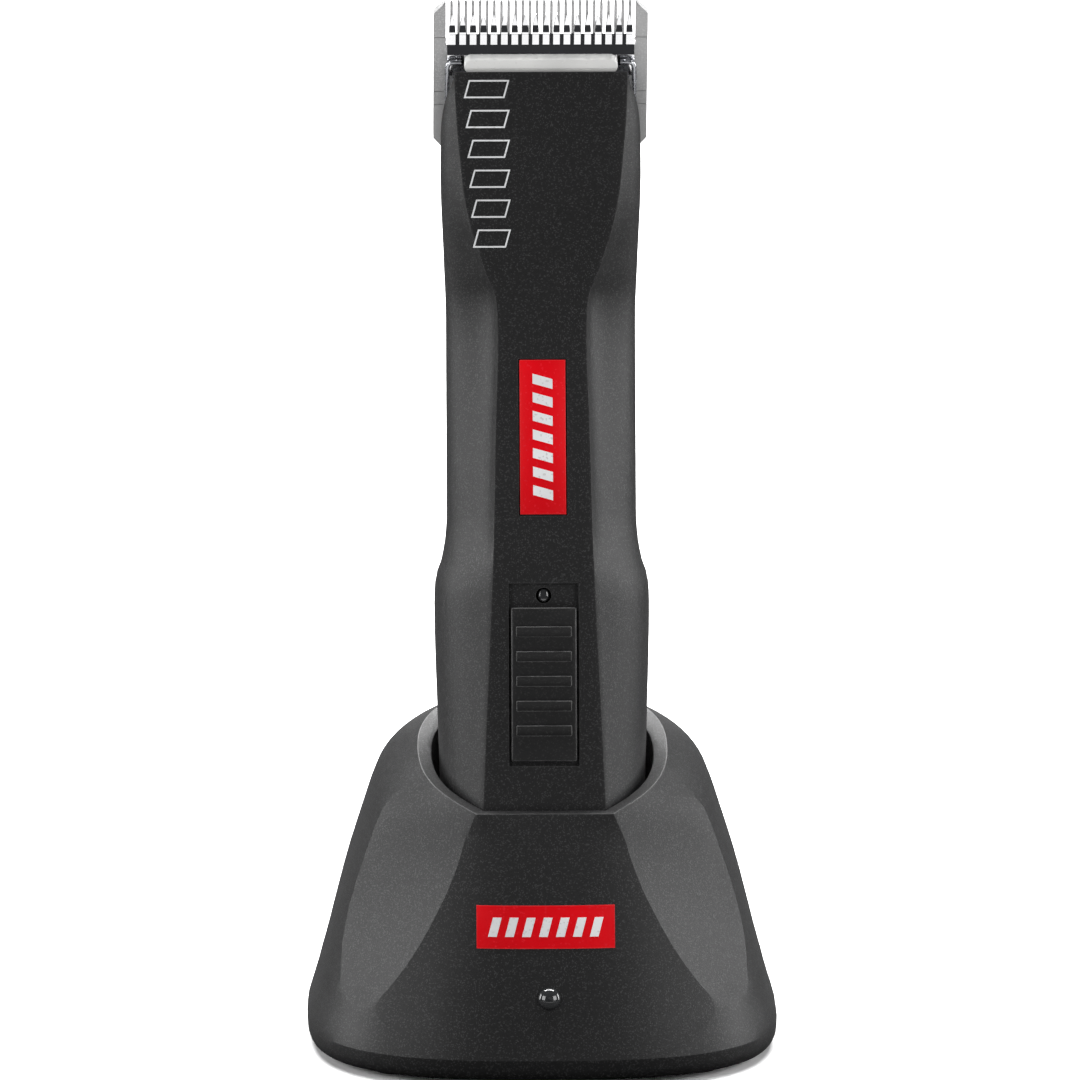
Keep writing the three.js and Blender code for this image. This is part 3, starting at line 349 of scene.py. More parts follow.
def stand_ring(height, inset=0.0, steps=(5, 22, 22)):
    facet_steps, flank_steps, back_steps = steps
    width = STAND_WIDTH * width_share_at(height) - inset
    front = front_set_at(height) + inset
    back_z = height + rise_to_back(height)
    back = back_set_at(back_z) - inset
    depth, middle = (back - front) / 2, (back + front) / 2
    inner, outer = width * facet_inner_at(height), width * facet_outer_at(height)
    cut = facet_cut_at(height)

    def on_curve(x):
        return -depth * (1 - min(1, x / width) ** STAND_SQUARENESS) ** (1 / STAND_SQUARENESS)

    half = [(inner * i / facet_steps, on_curve(inner * i / facet_steps)) for i in range(facet_steps)]
    half.append((inner - 0.35, on_curve(inner - 0.35)))
    lens_steps = flank_steps - 6
    for i in range(lens_steps + 1):
        t = i / lens_steps
        x = inner + (outer - inner) * t
        flat = on_curve(inner) + (on_curve(outer) - on_curve(inner)) * t
        half.append((x, on_curve(x) * (1 - cut) + flat * cut))
    start = -acos_power(outer / width)
    rest = back_steps + 6
    for i in range(1, rest + 1):
        turn = start + (pi / 2 - start) * i / rest
        side = 1 if turn > 0 else -1
        half.append((width * abs(cos(turn)) ** (2 / STAND_SQUARENESS),
                     depth * side * abs(sin(turn)) ** (2 / STAND_SQUARENESS)))
    half[-1] = (0, depth)
    slope = rise_to_back(height) / (2 * depth)
    return [Vector((x, y + middle, height + (y + depth) * slope)) for x, y in mirrored(half)]


def acos_power(share):
    return acos(min(1, share) ** (STAND_SQUARENESS / 2))


STAND_HEIGHTS = [6, 8, 10, 12, 13.5, 14.5, 15.5, 16.5, 17.5, 18.5, 20, 23, 26, 30, 34, 38, 42, 46, 48, 50, 52]


def stand_rings(inset=0.0, top=52):
    foot = [Vector((p.x, p.y, SHELL_BOTTOM)) for p in stand_ring(6, inset + 1.7)]
    rounding = []
    for k in range(1, 6):
        turn = k / 6 * pi / 2
        rounding.append([Vector((p.x, p.y, SHELL_BOTTOM + 3.4 * (1 - cos(turn))))
                         for p in stand_ring(6, inset + 1.7 * (1 - sin(turn)))])
    return [foot] + rounding + [stand_ring(height, inset) for height in STAND_HEIGHTS if height <= top]


def shoulder_rings(lower, low, rim, steps=12):
    """Rounds the body over from its last ring to the rim, leaving it in the same direction."""
    rings = []
    for k in range(1, steps + 1):
        t = k / steps
        ring = []
        for a0, a, b in zip(lower, low, rim):
            direction = (a - a0).normalized()
            lead = a + direction * (b - a).length * 0.3
            ring.append(a * (1 - t) ** 2 + lead * 2 * t * (1 - t) + b * t * t)
        rings.append(ring)
    return rings


def stand_solid_bm(inset=0.0):
    body = stand_rings(inset)
    edge = 0.25
    rings = body + shoulder_rings(body[-3], body[-1], rim_ring(SOCKET_GAP + RIM_WIDTH, SOCKET_SIDE + RIM_WIDTH, edge))
    for turn in (0.25, 0.6, 1):
        pull = edge * (1 - cos(turn * pi / 2))
        rings.append(rim_ring(SOCKET_GAP + RIM_WIDTH - pull, SOCKET_SIDE + RIM_WIDTH - pull,
                              edge * (1 - sin(turn * pi / 2))))
    rings.append(rim_ring(SOCKET_GAP + RIM_WIDTH / 2, SOCKET_SIDE + RIM_WIDTH / 2))
    for turn in (0, 0.4, 0.75, 1):
        pull = edge * (1 - sin(turn * pi / 2))
        rings.append(rim_ring(SOCKET_GAP + pull, SOCKET_SIDE + pull, edge * (1 - cos(turn * pi / 2))))
    rings += [[world_mm(CLIPPER, (x, y, station)) for x, y in handle_outline(station, SOCKET_GAP, SOCKET_SIDE)]
              for station in (22, 14, 6, 0, -1)]
    return skin(rings)


def stand_hollow_bm():
    body = stand_rings(STAND_WALL)
    return skin([[Vector((p.x, p.y, -2)) for p in body[0]]] + body)


LAMP_HEIGHT = 19.5
LAMP_SIDE = 0.7
LAMP_RADIUS = 2.6
FRONT_SLOPE = atan((STAND_DEPTH + RIM_NEAR.y) / (RIM_FRONT - SHOULDER))
LAMP = MM @ Matrix.Translation((LAMP_SIDE, front_set_at(LAMP_HEIGHT), LAMP_HEIGHT)) @ Matrix.Rotation(
    pi / 2 - FRONT_SLOPE, 4, "X")
STAND_BADGE = (31.8, 9.4, 35.2)
BADGE_THICKNESS = 0.9
INLET_HEIGHT = 19.5
BUTTON_STATION = 12
NOTCH = 6.6


def ring_bm(radius, thickness, squash=1.0):
    """A round wire ring about Z."""
    bm = bmesh.new()
    section = [bm.verts.new((radius + thickness * cos(a * pi / 4), 0, thickness * sin(a * pi / 4))) for a in range(8)]
    edges = [bm.edges.new((section[i - 1], section[i])) for i in range(8)]
    bmesh.ops.spin(bm, geom=section + edges, cent=(0, 0, 0), axis=(0, 0, 1), angle=2 * pi, steps=72, use_merge=True)
    bmesh.ops.remove_doubles(bm, verts=bm.verts, dist=1e-4)
    bmesh.ops.scale(bm, vec=(1, squash, 1), verts=bm.verts)
    bmesh.ops.recalc_face_normals(bm, faces=bm.faces)
    return bm


def badge_prism_bm(grow=0.0):
    width, height, middle = STAND_BADGE
    return box_bm((-width / 2 - grow, -STAND_DEPTH - 5, middle - height / 2 - grow),
                  (width / 2 + grow, -20, middle + height / 2 + grow))


def make_stand_shell(material):
    shell = to_object(stand_solid_bm(), "stand_body", STAND)
    hollow = to_object(stand_hollow_bm(), "hollow", STAND)
    cup = handle_bm([-1 - WALL, 6, 14, 22, 30, 38, 46, 54, 62, 70], SOCKET_GAP + WALL, SOCKET_SIDE + WALL)
    carve(hollow, [(cup, CLIPPER)])
    combine(shell, hollow)
    pocket = to_object(badge_prism_bm(GAP), "pocket", STAND)
    carve(pocket, [(skin(stand_rings(BADGE_THICKNESS)), STAND)])
    combine(shell, pocket)
    reach = GRIP + SOCKET_SIDE + 1.7
    carve(shell, [
        (box_bm((-reach, -NOTCH, BUTTON_STATION - 8), (reach, NOTCH, 90)), CLIPPER),
        (box_bm((-9.3, -5.3, -9), (9.3, 5.3, 0)), CLIPPER),
        (rod_bm(LAMP_RADIUS + GAP, 12, "z", (0, 0, 0)), LAMP),
        (ring_bm(5.5, 0.16, 1.05), LAMP),
        (rod_bm(4.4, 16, "y", (0, STAND_DEPTH - 1, INLET_HEIGHT)), STAND)])
    return dress(shell, material, "stand", "shell_black", "stand_shell", angle=14)


def make_stand_badge(enamel):
    badge = to_object(badge_prism_bm(), "stand_front_badge", STAND)
    carve(badge, [(skin(stand_rings(-0.2)), STAND)], "INTERSECT")
    carve(badge, [(skin(stand_rings(BADGE_THICKNESS - GAP)), STAND)])
    return dress(badge, enamel, "stand", "red_enamel", "stand_badge")


# ---------------------------------------------------------------- clipper housings
SWITCH_MIDDLE = 55.2
RECESS = (8.1, 21.1, 1.2)
STEM = (3, 5, 52)
SWITCH_TRAVEL = 4.5
SLIDER = (7.55, 35.2, 35.5)
LENS_STATION = 73.5
BADGE_LOW, BADGE_HIGH, BADGE_HALF = 92.1, 127.9, 5.3
HANDLE_BADGE = CLIPPER @ Matrix.Translation(
    (0, (front_at(BADGE_LOW) + front_at(BADGE_HIGH)) / 2, (BADGE_LOW + BADGE_HIGH) / 2)) @ Matrix.Rotation(
    -atan((front_at(BADGE_HIGH) - front_at(BADGE_LOW)) / (BADGE_HIGH - BADGE_LOW)), 4, "X")
BADGE_LENGTH = (BADGE_HIGH - BADGE_LOW) / 2
SCREWS = [(-15.2, 80), (15.2, 80), (-15.5, below_tips(70)), (15.5, below_tips(70))]
SCREW_DEPTH = 8
LATCH = (7, 57, 67)
SEAT_LEVEL = 9.5
COMB_LENGTH = 42


def blade_block_bm(half, near, far, shallow, deep, bevel=0.0):
    return box_bm((-half, near, -deep), (half, far, -shallow), bevel)


def body_stations():
    stations = [CAP_HEIGHT + 0.0]
    while stations[-1] < WAIST_HIGH - 2:
        stations.append(stations[-1] + 2.4)
    while stations[-1] < below_tips(27):
        stations.append(stations[-1] + 1.8)
    while stations[-1] < HEAD_EDGE - 0.6:
        stations.append(stations[-1] + 0.6)
    return stations + [HEAD_EDGE, HEAD_EDGE + 1]


def make_housings(material):
    body = to_object(handle_bm(body_stations()), "front_shell", CLIPPER)
    cavity = handle_bm([CAP_HEIGHT - 1, 40, 60, SWELL, SWELL + 4, SWELL + 9, 94, 110, 125, WAIST_HIGH, 143,
                        below_tips(62), below_tips(56), below_tips(50), below_tips(44), below_tips(38),
                        below_tips(28), below_tips(17)], -WALL)
    carve(body, [
        (cavity, CLIPPER),
        (blade_block_bm(60, -30, COMB_LENGTH + 9, -60, SEAT_LEVEL), BLADE),
        (blade_block_bm(9.4, HINGE_FAR - 3.4, HINGE_FAR + 4.4, 0, SEAT_LEVEL + 2.8), BLADE),
        (blade_block_bm(LATCH[0] + GAP, LATCH[1] - GAP, LATCH[2] + GAP, -4, 15), BLADE)])
    for x, station in SCREWS:
        boss = to_object(rod_bm(3.2, 50, "y", (x, 0, station), 24), "boss", CLIPPER)
        carve(boss, [(handle_bm([station - 12, station - 6, station, station + 6, station + 12], -0.4), CLIPPER)],
              "INTERSECT")
        combine(body, boss, "UNION")
        carve(body, [(rod_bm(1.6, 27.6, "y", (x, 7.2, station), 24), CLIPPER),
                     (rod_bm(2.9, 40, "y", (x, SCREW_DEPTH + 20, station), 32), CLIPPER)])
    back = body.copy()
    back.data = body.data.copy()
    back.name = "rear_shell"
    bpy.context.scene.collection.objects.link(back)
    half, length, depth = RECESS
    stem_half, stem_length, stem_station = STEM
    carve(body, [
        (box_bm((-60, SEAM - 0.1, -10), (60, 90, 300)), CLIPPER),
        (box_bm((-half, -60, SWITCH_MIDDLE - length), (half, -FACET_DEPTH + depth, SWITCH_MIDDLE + length)), CLIPPER),
        (box_bm((-stem_half - GAP, -60, stem_station - stem_length - GAP),
                (stem_half + GAP, -10, stem_station + stem_length + SWITCH_TRAVEL + GAP)), CLIPPER),
        (rod_bm(1.5 + GAP, 20, "y", (0, -20, LENS_STATION), 32), CLIPPER),
        (box_bm((-BADGE_HALF - GAP, -5, -BADGE_LENGTH - GAP), (BADGE_HALF + GAP, 0.7, BADGE_LENGTH + GAP)),
         HANDLE_BADGE)])
    carve(back, [(box_bm((-60, -90, -10), (60, SEAM + 0.1, 300)), CLIPPER)])
    dress(body, material, "handle", "shell_black", "front_housing", angle=14)
    dress(back, material, "handle", "shell_black", "rear_housing", angle=20)
    return body, back


def make_handle_badge(enamel):
    badge = to_object(box_bm((-BADGE_HALF, -0.22, -BADGE_LENGTH), (BADGE_HALF, 0.4, BADGE_LENGTH), 0.12),
                      "grip_badge", HANDLE_BADGE)
    return dress(badge, enamel, "handle", "red_enamel", "handle_badge")


def make_slider(material):
    half, low, length = SLIDER
    top = -FACET_DEPTH - 0.9
    slider = to_object(box_bm((-half, top, low), (half, -FACET_DEPTH + 0.9, low + length), 0.45, 3),
                       "power_slider", CLIPPER)
    stem_half, stem_length, station = STEM
    parts = [(box_bm((-stem_half, -FACET_DEPTH, station - stem_length),
                     (stem_half, -FACET_DEPTH + WALL + 1.6, station + stem_length)), CLIPPER)]
    for i in range(5):
        ridge = low + 8 + i * 5.7
        bm = box_bm((-6.35, top - 0.9, ridge - 2.2), (6.35, top + 0.2, ridge + 0.25), 0.0)
        for vert in bm.verts:
            if vert.co.z < ridge - 1 and vert.co.y < top:
                vert.co.y = top + 0.05
        bmesh.ops.bevel(bm, geom=bm.edges[:], offset=0.15, segments=2, profile=0.5, affect="EDGES", material=-1)
        parts.append((bm, CLIPPER))
    carve(slider, parts, "UNION")
    return dress(slider, material, "switch", "shell_black", "switch_slider")


def make_lens(material):
    bm = turned_bm([(0, 0), (1.35, 0), (1.35, 2.0), (1.1, 2.35), (0.6, 2.5), (0, 2.55)], 40)
    bmesh.ops.rotate(bm, cent=(0, 0, 0), matrix=Matrix.Rotation(pi / 2, 3, "X"), verts=bm.verts)
    bmesh.ops.scale(bm, vec=(0.9, 1, 1.1), verts=bm.verts)
    bmesh.ops.translate(bm, vec=(0, -FACET_DEPTH + RECESS[2] + 2.2, LENS_STATION), verts=bm.verts)
    return dress(to_object(bm, "power_lens", CLIPPER), material, "handle", "lens", "indicator_lens")


# ---------------------------------------------------------------- blade set
COMB_HALF = 24.75
COMB_THICKNESS = 2.8
COMB_TEETH = 26
COMB_PITCH = 1.647
COMB_TOOTH = 0.65
COMB_TOOTH_LENGTH = 11.5
CUTTER_HALF = 21.6
CUTTER_TEETH = 18
CUTTER_SET_BACK = 2.6
CUTTER_THICKNESS = 2.3
CUTTER_DEEP = COMB_THICKNESS + GAP
CUTTER_BACK = 18
TIP_FAR = 28.5
SCREW_X, SCREW_FAR = 12, COMB_LENGTH - 4.5
SOCKET_DEEP = CUTTER_DEEP


def profile_bm(profile, half):
    """A (y, z) side profile widened along X to both sides of the middle."""
    bm = bmesh.new()
    face = bm.faces.new([bm.verts.new((-half, y, z)) for y, z in profile])
    raised = bmesh.ops.extrude_face_region(bm, geom=[face])["geom"]
    bmesh.ops.translate(bm, vec=(2 * half, 0, 0), verts=[v for v in raised if isinstance(v, bmesh.types.BMVert)])
    bmesh.ops.recalc_face_normals(bm, faces=bm.faces)
    return bm


def make_comb(material):
    w, thick, heel = COMB_HALF, COMB_THICKNESS, COMB_LENGTH
    comb = to_object(slab_bm([(-w, 3.2), (-w + 3, 0), (w - 3, 0), (w, 3.2), (w, heel - 6), (w - 5, heel),
                              (-w + 5, heel), (-w, heel - 6)], -thick, 0), "comb_plate", BLADE)
    side = [(-1, -thick + 0.9), (-1, -1.3), (0, -1.2), (2.2, -0.45), (5.5, 0), (heel + 1, 0), (heel + 1, -thick),
            (1.1, -thick), (0, -thick + 0.7)]
    carve(comb, [(profile_bm(side, w + 1), BLADE)], "INTERSECT")
    half, tip = (COMB_PITCH - COMB_TOOTH) / 2, 0.16
    slot = [(-half - tip, -2), (half + tip, -2), (half + tip, 0.1), (half, 1.3), (half, COMB_TOOTH_LENGTH - 0.5),
            (half * 0.6, COMB_TOOTH_LENGTH - 0.12), (0, COMB_TOOTH_LENGTH), (-half * 0.6, COMB_TOOTH_LENGTH - 0.12),
            (-half, COMB_TOOTH_LENGTH - 0.5), (-half, 1.3), (-half - tip, 0.1)]
    slots = [(slab_bm(slot, -9, 9), Matrix.Translation(((i - COMB_TEETH / 2) * COMB_PITCH, 0, 0)))
             for i in range(COMB_TEETH + 1)]
    cuts = [(joined(slots), BLADE)]
    for side in (-1, 1):
        cuts.append((rod_bm(1.7, 20, "z", (side * SCREW_X, SCREW_FAR, 0), 32), BLADE))
        cuts += [(box_bm((side * w - 3.2, far, -thick - 1), (side * w + 3.2, far + 0.16, -thick + 0.22)), BLADE)
                 for far in (9.4, 23.6, 27)]
    carve(comb, cuts)
    return dress(comb, material, "blade_set", "blasted_steel", "comb_blade", angle=20)


CUTTER_TIP, CUTTER_SHOULDER, CUTTER_BAY, CUTTER_ROOT = 2.6, 6.6, 8.2, 11.9
CUTTER_PITCH = (2 * CUTTER_HALF - 0.6) / (CUTTER_TEETH - 0.3)
CUTTER_TOOTH = CUTTER_PITCH * 0.31
GAP_HALF = CUTTER_PITCH / 2 - CUTTER_TOOTH


def cutter_outline():
    """Pointed teeth on a body with a driving block behind."""
    rise = CUTTER_SHOULDER - CUTTER_TIP
    outline = []
    for i in range(CUTTER_TEETH):
        middle = (i - (CUTTER_TEETH - 1) / 2) * CUTTER_PITCH
        arch = [(CUTTER_TOOTH * k, CUTTER_TIP + rise * (1 - (1 - k) ** 0.8)) for k in (0.08, 0.3, 0.55, 0.8, 1)]
        arch.append((CUTTER_TOOTH, CUTTER_BAY))
        outline += [(middle - x, y) for x, y in reversed(arch)] + [(middle + x, y) for x, y in arch]
    w = CUTTER_HALF
    return outline + [(w, CUTTER_BAY), (w, CUTTER_BACK), (8, CUTTER_BACK), (8, TIP_FAR + 3), (-8, TIP_FAR + 3),
                      (-8, CUTTER_BACK), (-w, CUTTER_BACK), (-w, CUTTER_BAY)]


def cutter_grooves():
    """The gaps between the teeth, which run out in a slope behind their bays."""
    plan = [(-GAP_HALF, CUTTER_BAY - 0.6), (GAP_HALF, CUTTER_BAY - 0.6)]
    plan += [(GAP_HALF * cos(a), CUTTER_ROOT - 0.5 + 0.5 * sin(a)) for a in (k * pi / 6 for k in range(7))]
    slots = joined([(slab_bm(plan, -9, 9), Matrix.Translation(((i - CUTTER_TEETH / 2) * CUTTER_PITCH, 0, 0)))
                    for i in range(1, CUTTER_TEETH)])
    grooves = to_object(slots, "grooves", BLADE)
    side = [(0, 3), (CUTTER_BAY, 3), (CUTTER_ROOT + 0.5, 5.4), (CUTTER_ROOT + 0.5, 8), (0, 8)]
    return carve(grooves, [(profile_bm([(far, -deep) for far, deep in side], 30), BLADE)], "INTERSECT")


def make_cutter(material):
    low, high = CUTTER_DEEP, CUTTER_DEEP + CUTTER_THICKNESS
    cutter = to_object(slab_bm(cutter_outline(), -high - 1, -low), "cutter_plate", BLADE)
    face = [(2.6, 3.8), (2.75, 4.1), (5.4, 4.4), (6.9, 5.1), (7.2, 5.12), (7.25, 4.98), (7.5, 4.98), (7.55, 5.12),
            (10.1, 5.12), (10.15, 4.1), (12.7, high), (40, high), (40, low - 1), (2.6, low - 1)]
    carve(cutter, [(profile_bm([(far, -deep) for far, deep in face], 30), BLADE)], "INTERSECT")
    combine(cutter, cutter_grooves())
    bm = bmesh.new()
    bm.from_mesh(cutter.data)
    outward = (BLADE.to_3x3() @ Vector((0, 0, -1))).normalized()
    bm.normal_update()
    rims = []
    for edge in bm.edges:
        if len(edge.link_faces) == 2 and edge.calc_length() > 0.00012:
            tops = sorted(face.normal.dot(outward) for face in edge.link_faces)
            if abs(tops[0]) < 0.2 and tops[1] > 0.8:
                rims.append(edge)
    bmesh.ops.bevel(bm, geom=rims, offset=0.0002, segments=1, profile=0.5, affect="EDGES", material=-1,
                    clamp_overlap=True)
    bm.to_mesh(cutter.data)
    bm.free()
    carve(cutter, [(blade_block_bm(2.5, TIP_FAR - 3, TIP_FAR + 9, 0, 20), BLADE)])
    return dress(cutter, material, "cutter", "polished_steel", "cutter_blade", angle=12)


def make_guide_bar(material):
    deep = CUTTER_DEEP + CUTTER_THICKNESS + GAP
    bm = box_bm((-17.7, 12.2, -8.6), (17.7, 15.9, -deep))
    ends = [e for e in bm.edges if abs(e.verts[0].co.x - e.verts[1].co.x) < 1e-6
            and abs(e.verts[0].co.y - e.verts[1].co.y) < 1e-6]
    bmesh.ops.bevel(bm, geom=ends, offset=1.7, segments=8, profile=0.5, affect="EDGES", material=-1)
    rims = [e for e in bm.edges if e.calc_face_angle(0) > radians(60)]
    bmesh.ops.bevel(bm, geom=rims, offset=0.3, segments=3, profile=0.5, affect="EDGES", material=-1)
    bar = to_object(bm, "guide_rail", BLADE)
    carve(bar, [(box_bm((-30, 14.6, -9.6), (30, 14.85, -8.45)), BLADE)])
    return dress(bar, material, "blade_set", "white_plastic", "guide_bar", angle=40)


def wire_bm(points, radius, sides=10, steps=4):
    """A round wire along rounded corners."""
    curve = bpy.data.curves.new("wire", "CURVE")
    curve.dimensions = "3D"
    curve.bevel_depth = radius
    curve.bevel_resolution = 4
    curve.use_fill_caps = True
    spline = curve.splines.new("BEZIER")
    spline.bezier_points.add(len(points) - 1)
    for target, point in zip(spline.bezier_points, points):
        target.co = point
        target.handle_left_type = target.handle_right_type = "AUTO"
    curve.resolution_u = steps
    holder = bpy.data.objects.new("wire", curve)
    bpy.context.scene.collection.objects.link(holder)
    mesh = bpy.data.meshes.new_from_object(holder.evaluated_get(bpy.context.evaluated_depsgraph_get()))
    bm = bmesh.new()
    bm.from_mesh(mesh)
    bmesh.ops.remove_doubles(bm, verts=bm.verts, dist=1e-5)
    bpy.data.meshes.remove(mesh)
    bpy.data.objects.remove(holder)
    bmesh.ops.recalc_face_normals(bm, faces=bm.faces)
    return bm


def make_spring(material):
    deep = -6.5
    arm = CUTTER_HALF
    right = [(18.4, 14), (20.2, 14), (21.1, 14.3), (21.5, 15.1), (arm, 17), (arm, 22), (arm - 0.2, 26), (19.5, 30),
             (14, 32.8), (6, 33.2)]
    points = [(-x, y, deep) for x, y in right] + [(x, y, deep) for x, y in reversed(right)]
    return dress(to_object(wire_bm(points, 0.58, steps=8), "spring_wire", BLADE), material, "blade_set", "zinc_steel",
                 "tension_spring", angle=50)


def make_socket(material):
    low, high = COMB_LENGTH - 7.2, COMB_LENGTH + 0.4
    socket = to_object(blade_block_bm(8, low, high, SOCKET_DEEP, 7.4, 0.5), "heel_socket", BLADE)
    flange = blade_block_bm(16, low, COMB_LENGTH - 1.2, SOCKET_DEEP, SOCKET_DEEP + 1.2, 0.2)
    carve(socket, [(flange, BLADE)], "UNION")
    carve(socket, [(blade_block_bm(5.4, low + 0.3, high + 9, 4.5, 6.5), BLADE)]
          + [(rod_bm(1.7, 20, "z", (side * SCREW_X, SCREW_FAR, 0), 32), BLADE) for side in (-1, 1)])
    return dress(socket, material, "blade_set", "blasted_steel", "blade_socket")


def crossed_screw_bm(head, head_height, shank, length, sides=40):
    """A pan-head screw standing on Z, head up; its cross recess is cut afterwards by cross_recess."""
    profile = [(0, -length), (shank * 0.6, -length), (shank, -length + shank), (shank, 0), (head - 0.15, 0),
               (head, 0.15), (head, head_height * 0.45), (head * 0.85, head_height * 0.8),
               (head * 0.5, head_height * 0.97), (0, head_height)]
    return turned_bm(profile, sides)


def cross_recess(obj, place, head, head_height):
    arm = head * 0.16
    cuts = [box_bm((-arm, -head * 0.58, head_height * 0.35), (arm, head * 0.58, head_height + 1)),
            box_bm((-head * 0.58, -arm, head_height * 0.35), (head * 0.58, arm, head_height + 1))]
    return carve(obj, [(bm, place) for bm in cuts])


def make_screw(name, node, place, body, head, head_height, shank, length, material):
    screw = to_object(crossed_screw_bm(head, head_height, shank, length), name, place)
    cross_recess(screw, place, head, head_height)
    return dress(screw, material, body, "zinc_steel", node, angle=35)


def make_screws(material):
    toward_back = Matrix.Rotation(-pi / 2, 4, "X")
    for i, (x, station) in enumerate(SCREWS):
        place = CLIPPER @ Matrix.Translation((x, SCREW_DEPTH + GAP, station)) @ toward_back
        make_screw(f"rear_screw_{i + 1}", f"housing_screw_{i + 1}", place, "handle", 2.5, 1.7, 1.25, 14, material)
    for i in range(4):
        low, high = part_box(f"stand_screw_{i + 1}")
        middle = (low + high) / 2 * IN_MM
        place = MM @ Matrix.Translation((middle.x, middle.y, low.z * IN_MM + 1.25)) @ Matrix.Rotation(pi, 4, "X")
        make_screw(f"base_screw_{i + 1}", f"stand_screw_{i + 1}", place, "stand", 3.1, 1.2, 1.4, 10.6, material)
    for name, side in (("left", -1), ("right", 1)):
        place = BLADE @ Matrix.Translation((side * SCREW_X, SCREW_FAR, -SOCKET_DEEP - 1.2 - GAP)) @ Matrix.Rotation(
            pi, 4, "X")
        make_screw(f"socket_screw_{name}", f"blade_screw_{name}", place, "blade_set", 2.6, 1.6, 1.4, 3.6, material)


# ---------------------------------------------------------------- stand fittings and battery
def make_lamp(material):
    profile = [(0, -5), (LAMP_RADIUS, -5), (LAMP_RADIUS, 0.1)]
    profile += [(LAMP_RADIUS * cos(a * pi / 16), 0.1 + 1.65 * sin(a * pi / 16)) for a in range(1, 8)]
    return dress(to_object(turned_bm(profile + [(0, 1.75)]), "lamp_dome", LAMP), material, "stand", "lens",
                 "status_lamp")


def make_feet(material):
    for i in range(4):
        low, high = (corner * IN_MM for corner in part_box(f"stand_foot_{i + 1}"))
        radius, height = (high.x - low.x) / 2, high.z - low.z
        bm = turned_bm([(0, 0.25), (radius - 1.6, 0.25), (radius - 1.4, 0), (radius - 0.4, 0), (radius - 0.1, 0.1),
                        (radius, 0.4), (radius, height), (0, height)])
        bmesh.ops.translate(bm, vec=((low.x + high.x) / 2, (low.y + high.y) / 2, low.z), verts=bm.verts)
        dress(to_object(bm, f"rubber_foot_{i + 1}", MM), material, "stand", "rubber", f"stand_foot_{i + 1}")


def make_battery_cap(material):
    rounding = 1.3
    rings = []
    for k in range(7):
        turn = k / 6 * pi / 2
        pull = rounding * (1 - sin(turn)) + 0.05
        rings.append([(x, y, rounding * (1 - cos(turn))) for x, y in handle_outline(0, -pull)])
    rings += [[(x, y, station) for x, y in handle_outline(station, -0.05)]
              for station in (3, 8, 14, 19, CAP_HEIGHT - GAP)]
    cap = to_object(skin(rings), "battery_end", CLIPPER)
    inside = handle_bm([3, 10, 16, 30], -2)
    cuts = [(inside, CLIPPER), (box_bm((-40, -5.8, BUTTON_STATION - 4.8), (40, 5.8, BUTTON_STATION + 4.8)), CLIPPER)]
    for side in (-1, 1):
        cuts.append((rod_bm(2.6, 2, "z", (side * 5, 0, 0), 32), CLIPPER))
        cuts.append((rod_bm(1.3, 8, "z", (side * 5, 0, 2), 24), CLIPPER))
    carve(cap, cuts)
    return dress(cap, material, "battery", "shell_black", "battery_cap")


def make_buttons(material):
    for name, side in (("left", -1), ("right", 1)):
        face = half_width_at(BUTTON_STATION) + 0.9
        x0, x1 = sorted((side * (face - 3.6), side * face))
        button = to_object(box_bm((x0, -5.5, BUTTON_STATION - 4.5), (x1, 5.5, BUTTON_STATION + 4.5), 0.5, 3),
                           f"pack_button_{name}", CLIPPER)
        grooves = [(box_bm((x0 - 9 if side < 0 else x1 - 0.4, -4.2, BUTTON_STATION + k * 1.8 - 0.35),
                           (x0 + 0.4 if side < 0 else x1 + 9, 4.2, BUTTON_STATION + k * 1.8 + 0.35)), CLIPPER)
                   for k in (-1, 0, 1)]
        carve(button, grooves)
        dress(button, material, f"button_{name}", "inner_plastic", f"battery_button_{name}")


def make_release_button(material):
    half, near, far = LATCH
    button = to_object(blade_block_bm(half, near, far, 6.6, 10.9, 0.6), "release_key", BLADE)
    grooves = [(box_bm((-half + 1.5, near + 2.2 + 2.2 * k, -7.0), (half - 1.5, near + 3.1 + 2.2 * k, -5)), BLADE)
               for k in range(3)]
    carve(button, grooves)
    return dress(button, material, "release_button", "inner_plastic", "blade_release_button")


# ---------------------------------------------------------------- printed and inlaid marks
SLANT = 0.28


def slanted_bar(width, height):
    lean = SLANT * height / 2
    return [(-width / 2 - lean, -height / 2), (width / 2 - lean, -height / 2), (width / 2 + lean, height / 2),
            (-width / 2 + lean, height / 2)]


def frame_bm(outline, line, low, high):
    """The outline as a raised line of even width."""
    bm = bmesh.new()
    face = bm.faces.new([bm.verts.new((x, y, low)) for x, y in outline])
    face.normal_update()
    bmesh.ops.inset_region(bm, faces=[face], thickness=line, use_even_offset=True, use_boundary=True)
    bmesh.ops.delete(bm, geom=[face], context="FACES_ONLY")
    raised = bmesh.ops.extrude_face_region(bm, geom=bm.faces[:])["geom"]
    bmesh.ops.translate(bm, vec=(0, 0, high - low), verts=[v for v in raised if isinstance(v, bmesh.types.BMVert)])
    bmesh.ops.recalc_face_normals(bm, faces=bm.faces)
    return bm


def joined(bms_and_places):
    whole = bmesh.new()
    for bm, place in bms_and_places:
        bmesh.ops.transform(bm, matrix=place, verts=bm.verts)
        scrap = bpy.data.meshes.new("scrap")
        bm.to_mesh(scrap)
        whole.from_mesh(scrap)
        bm.free()
        bpy.data.meshes.remove(scrap)
    return whole


def facet_place(x, station):
    slope = (front_at(station + 1) - front_at(station - 1)) / 2
    return Matrix.Translation((x, front_at(station), station)) @ Matrix.Rotation(pi / 2 - atan(slope), 4, "X")


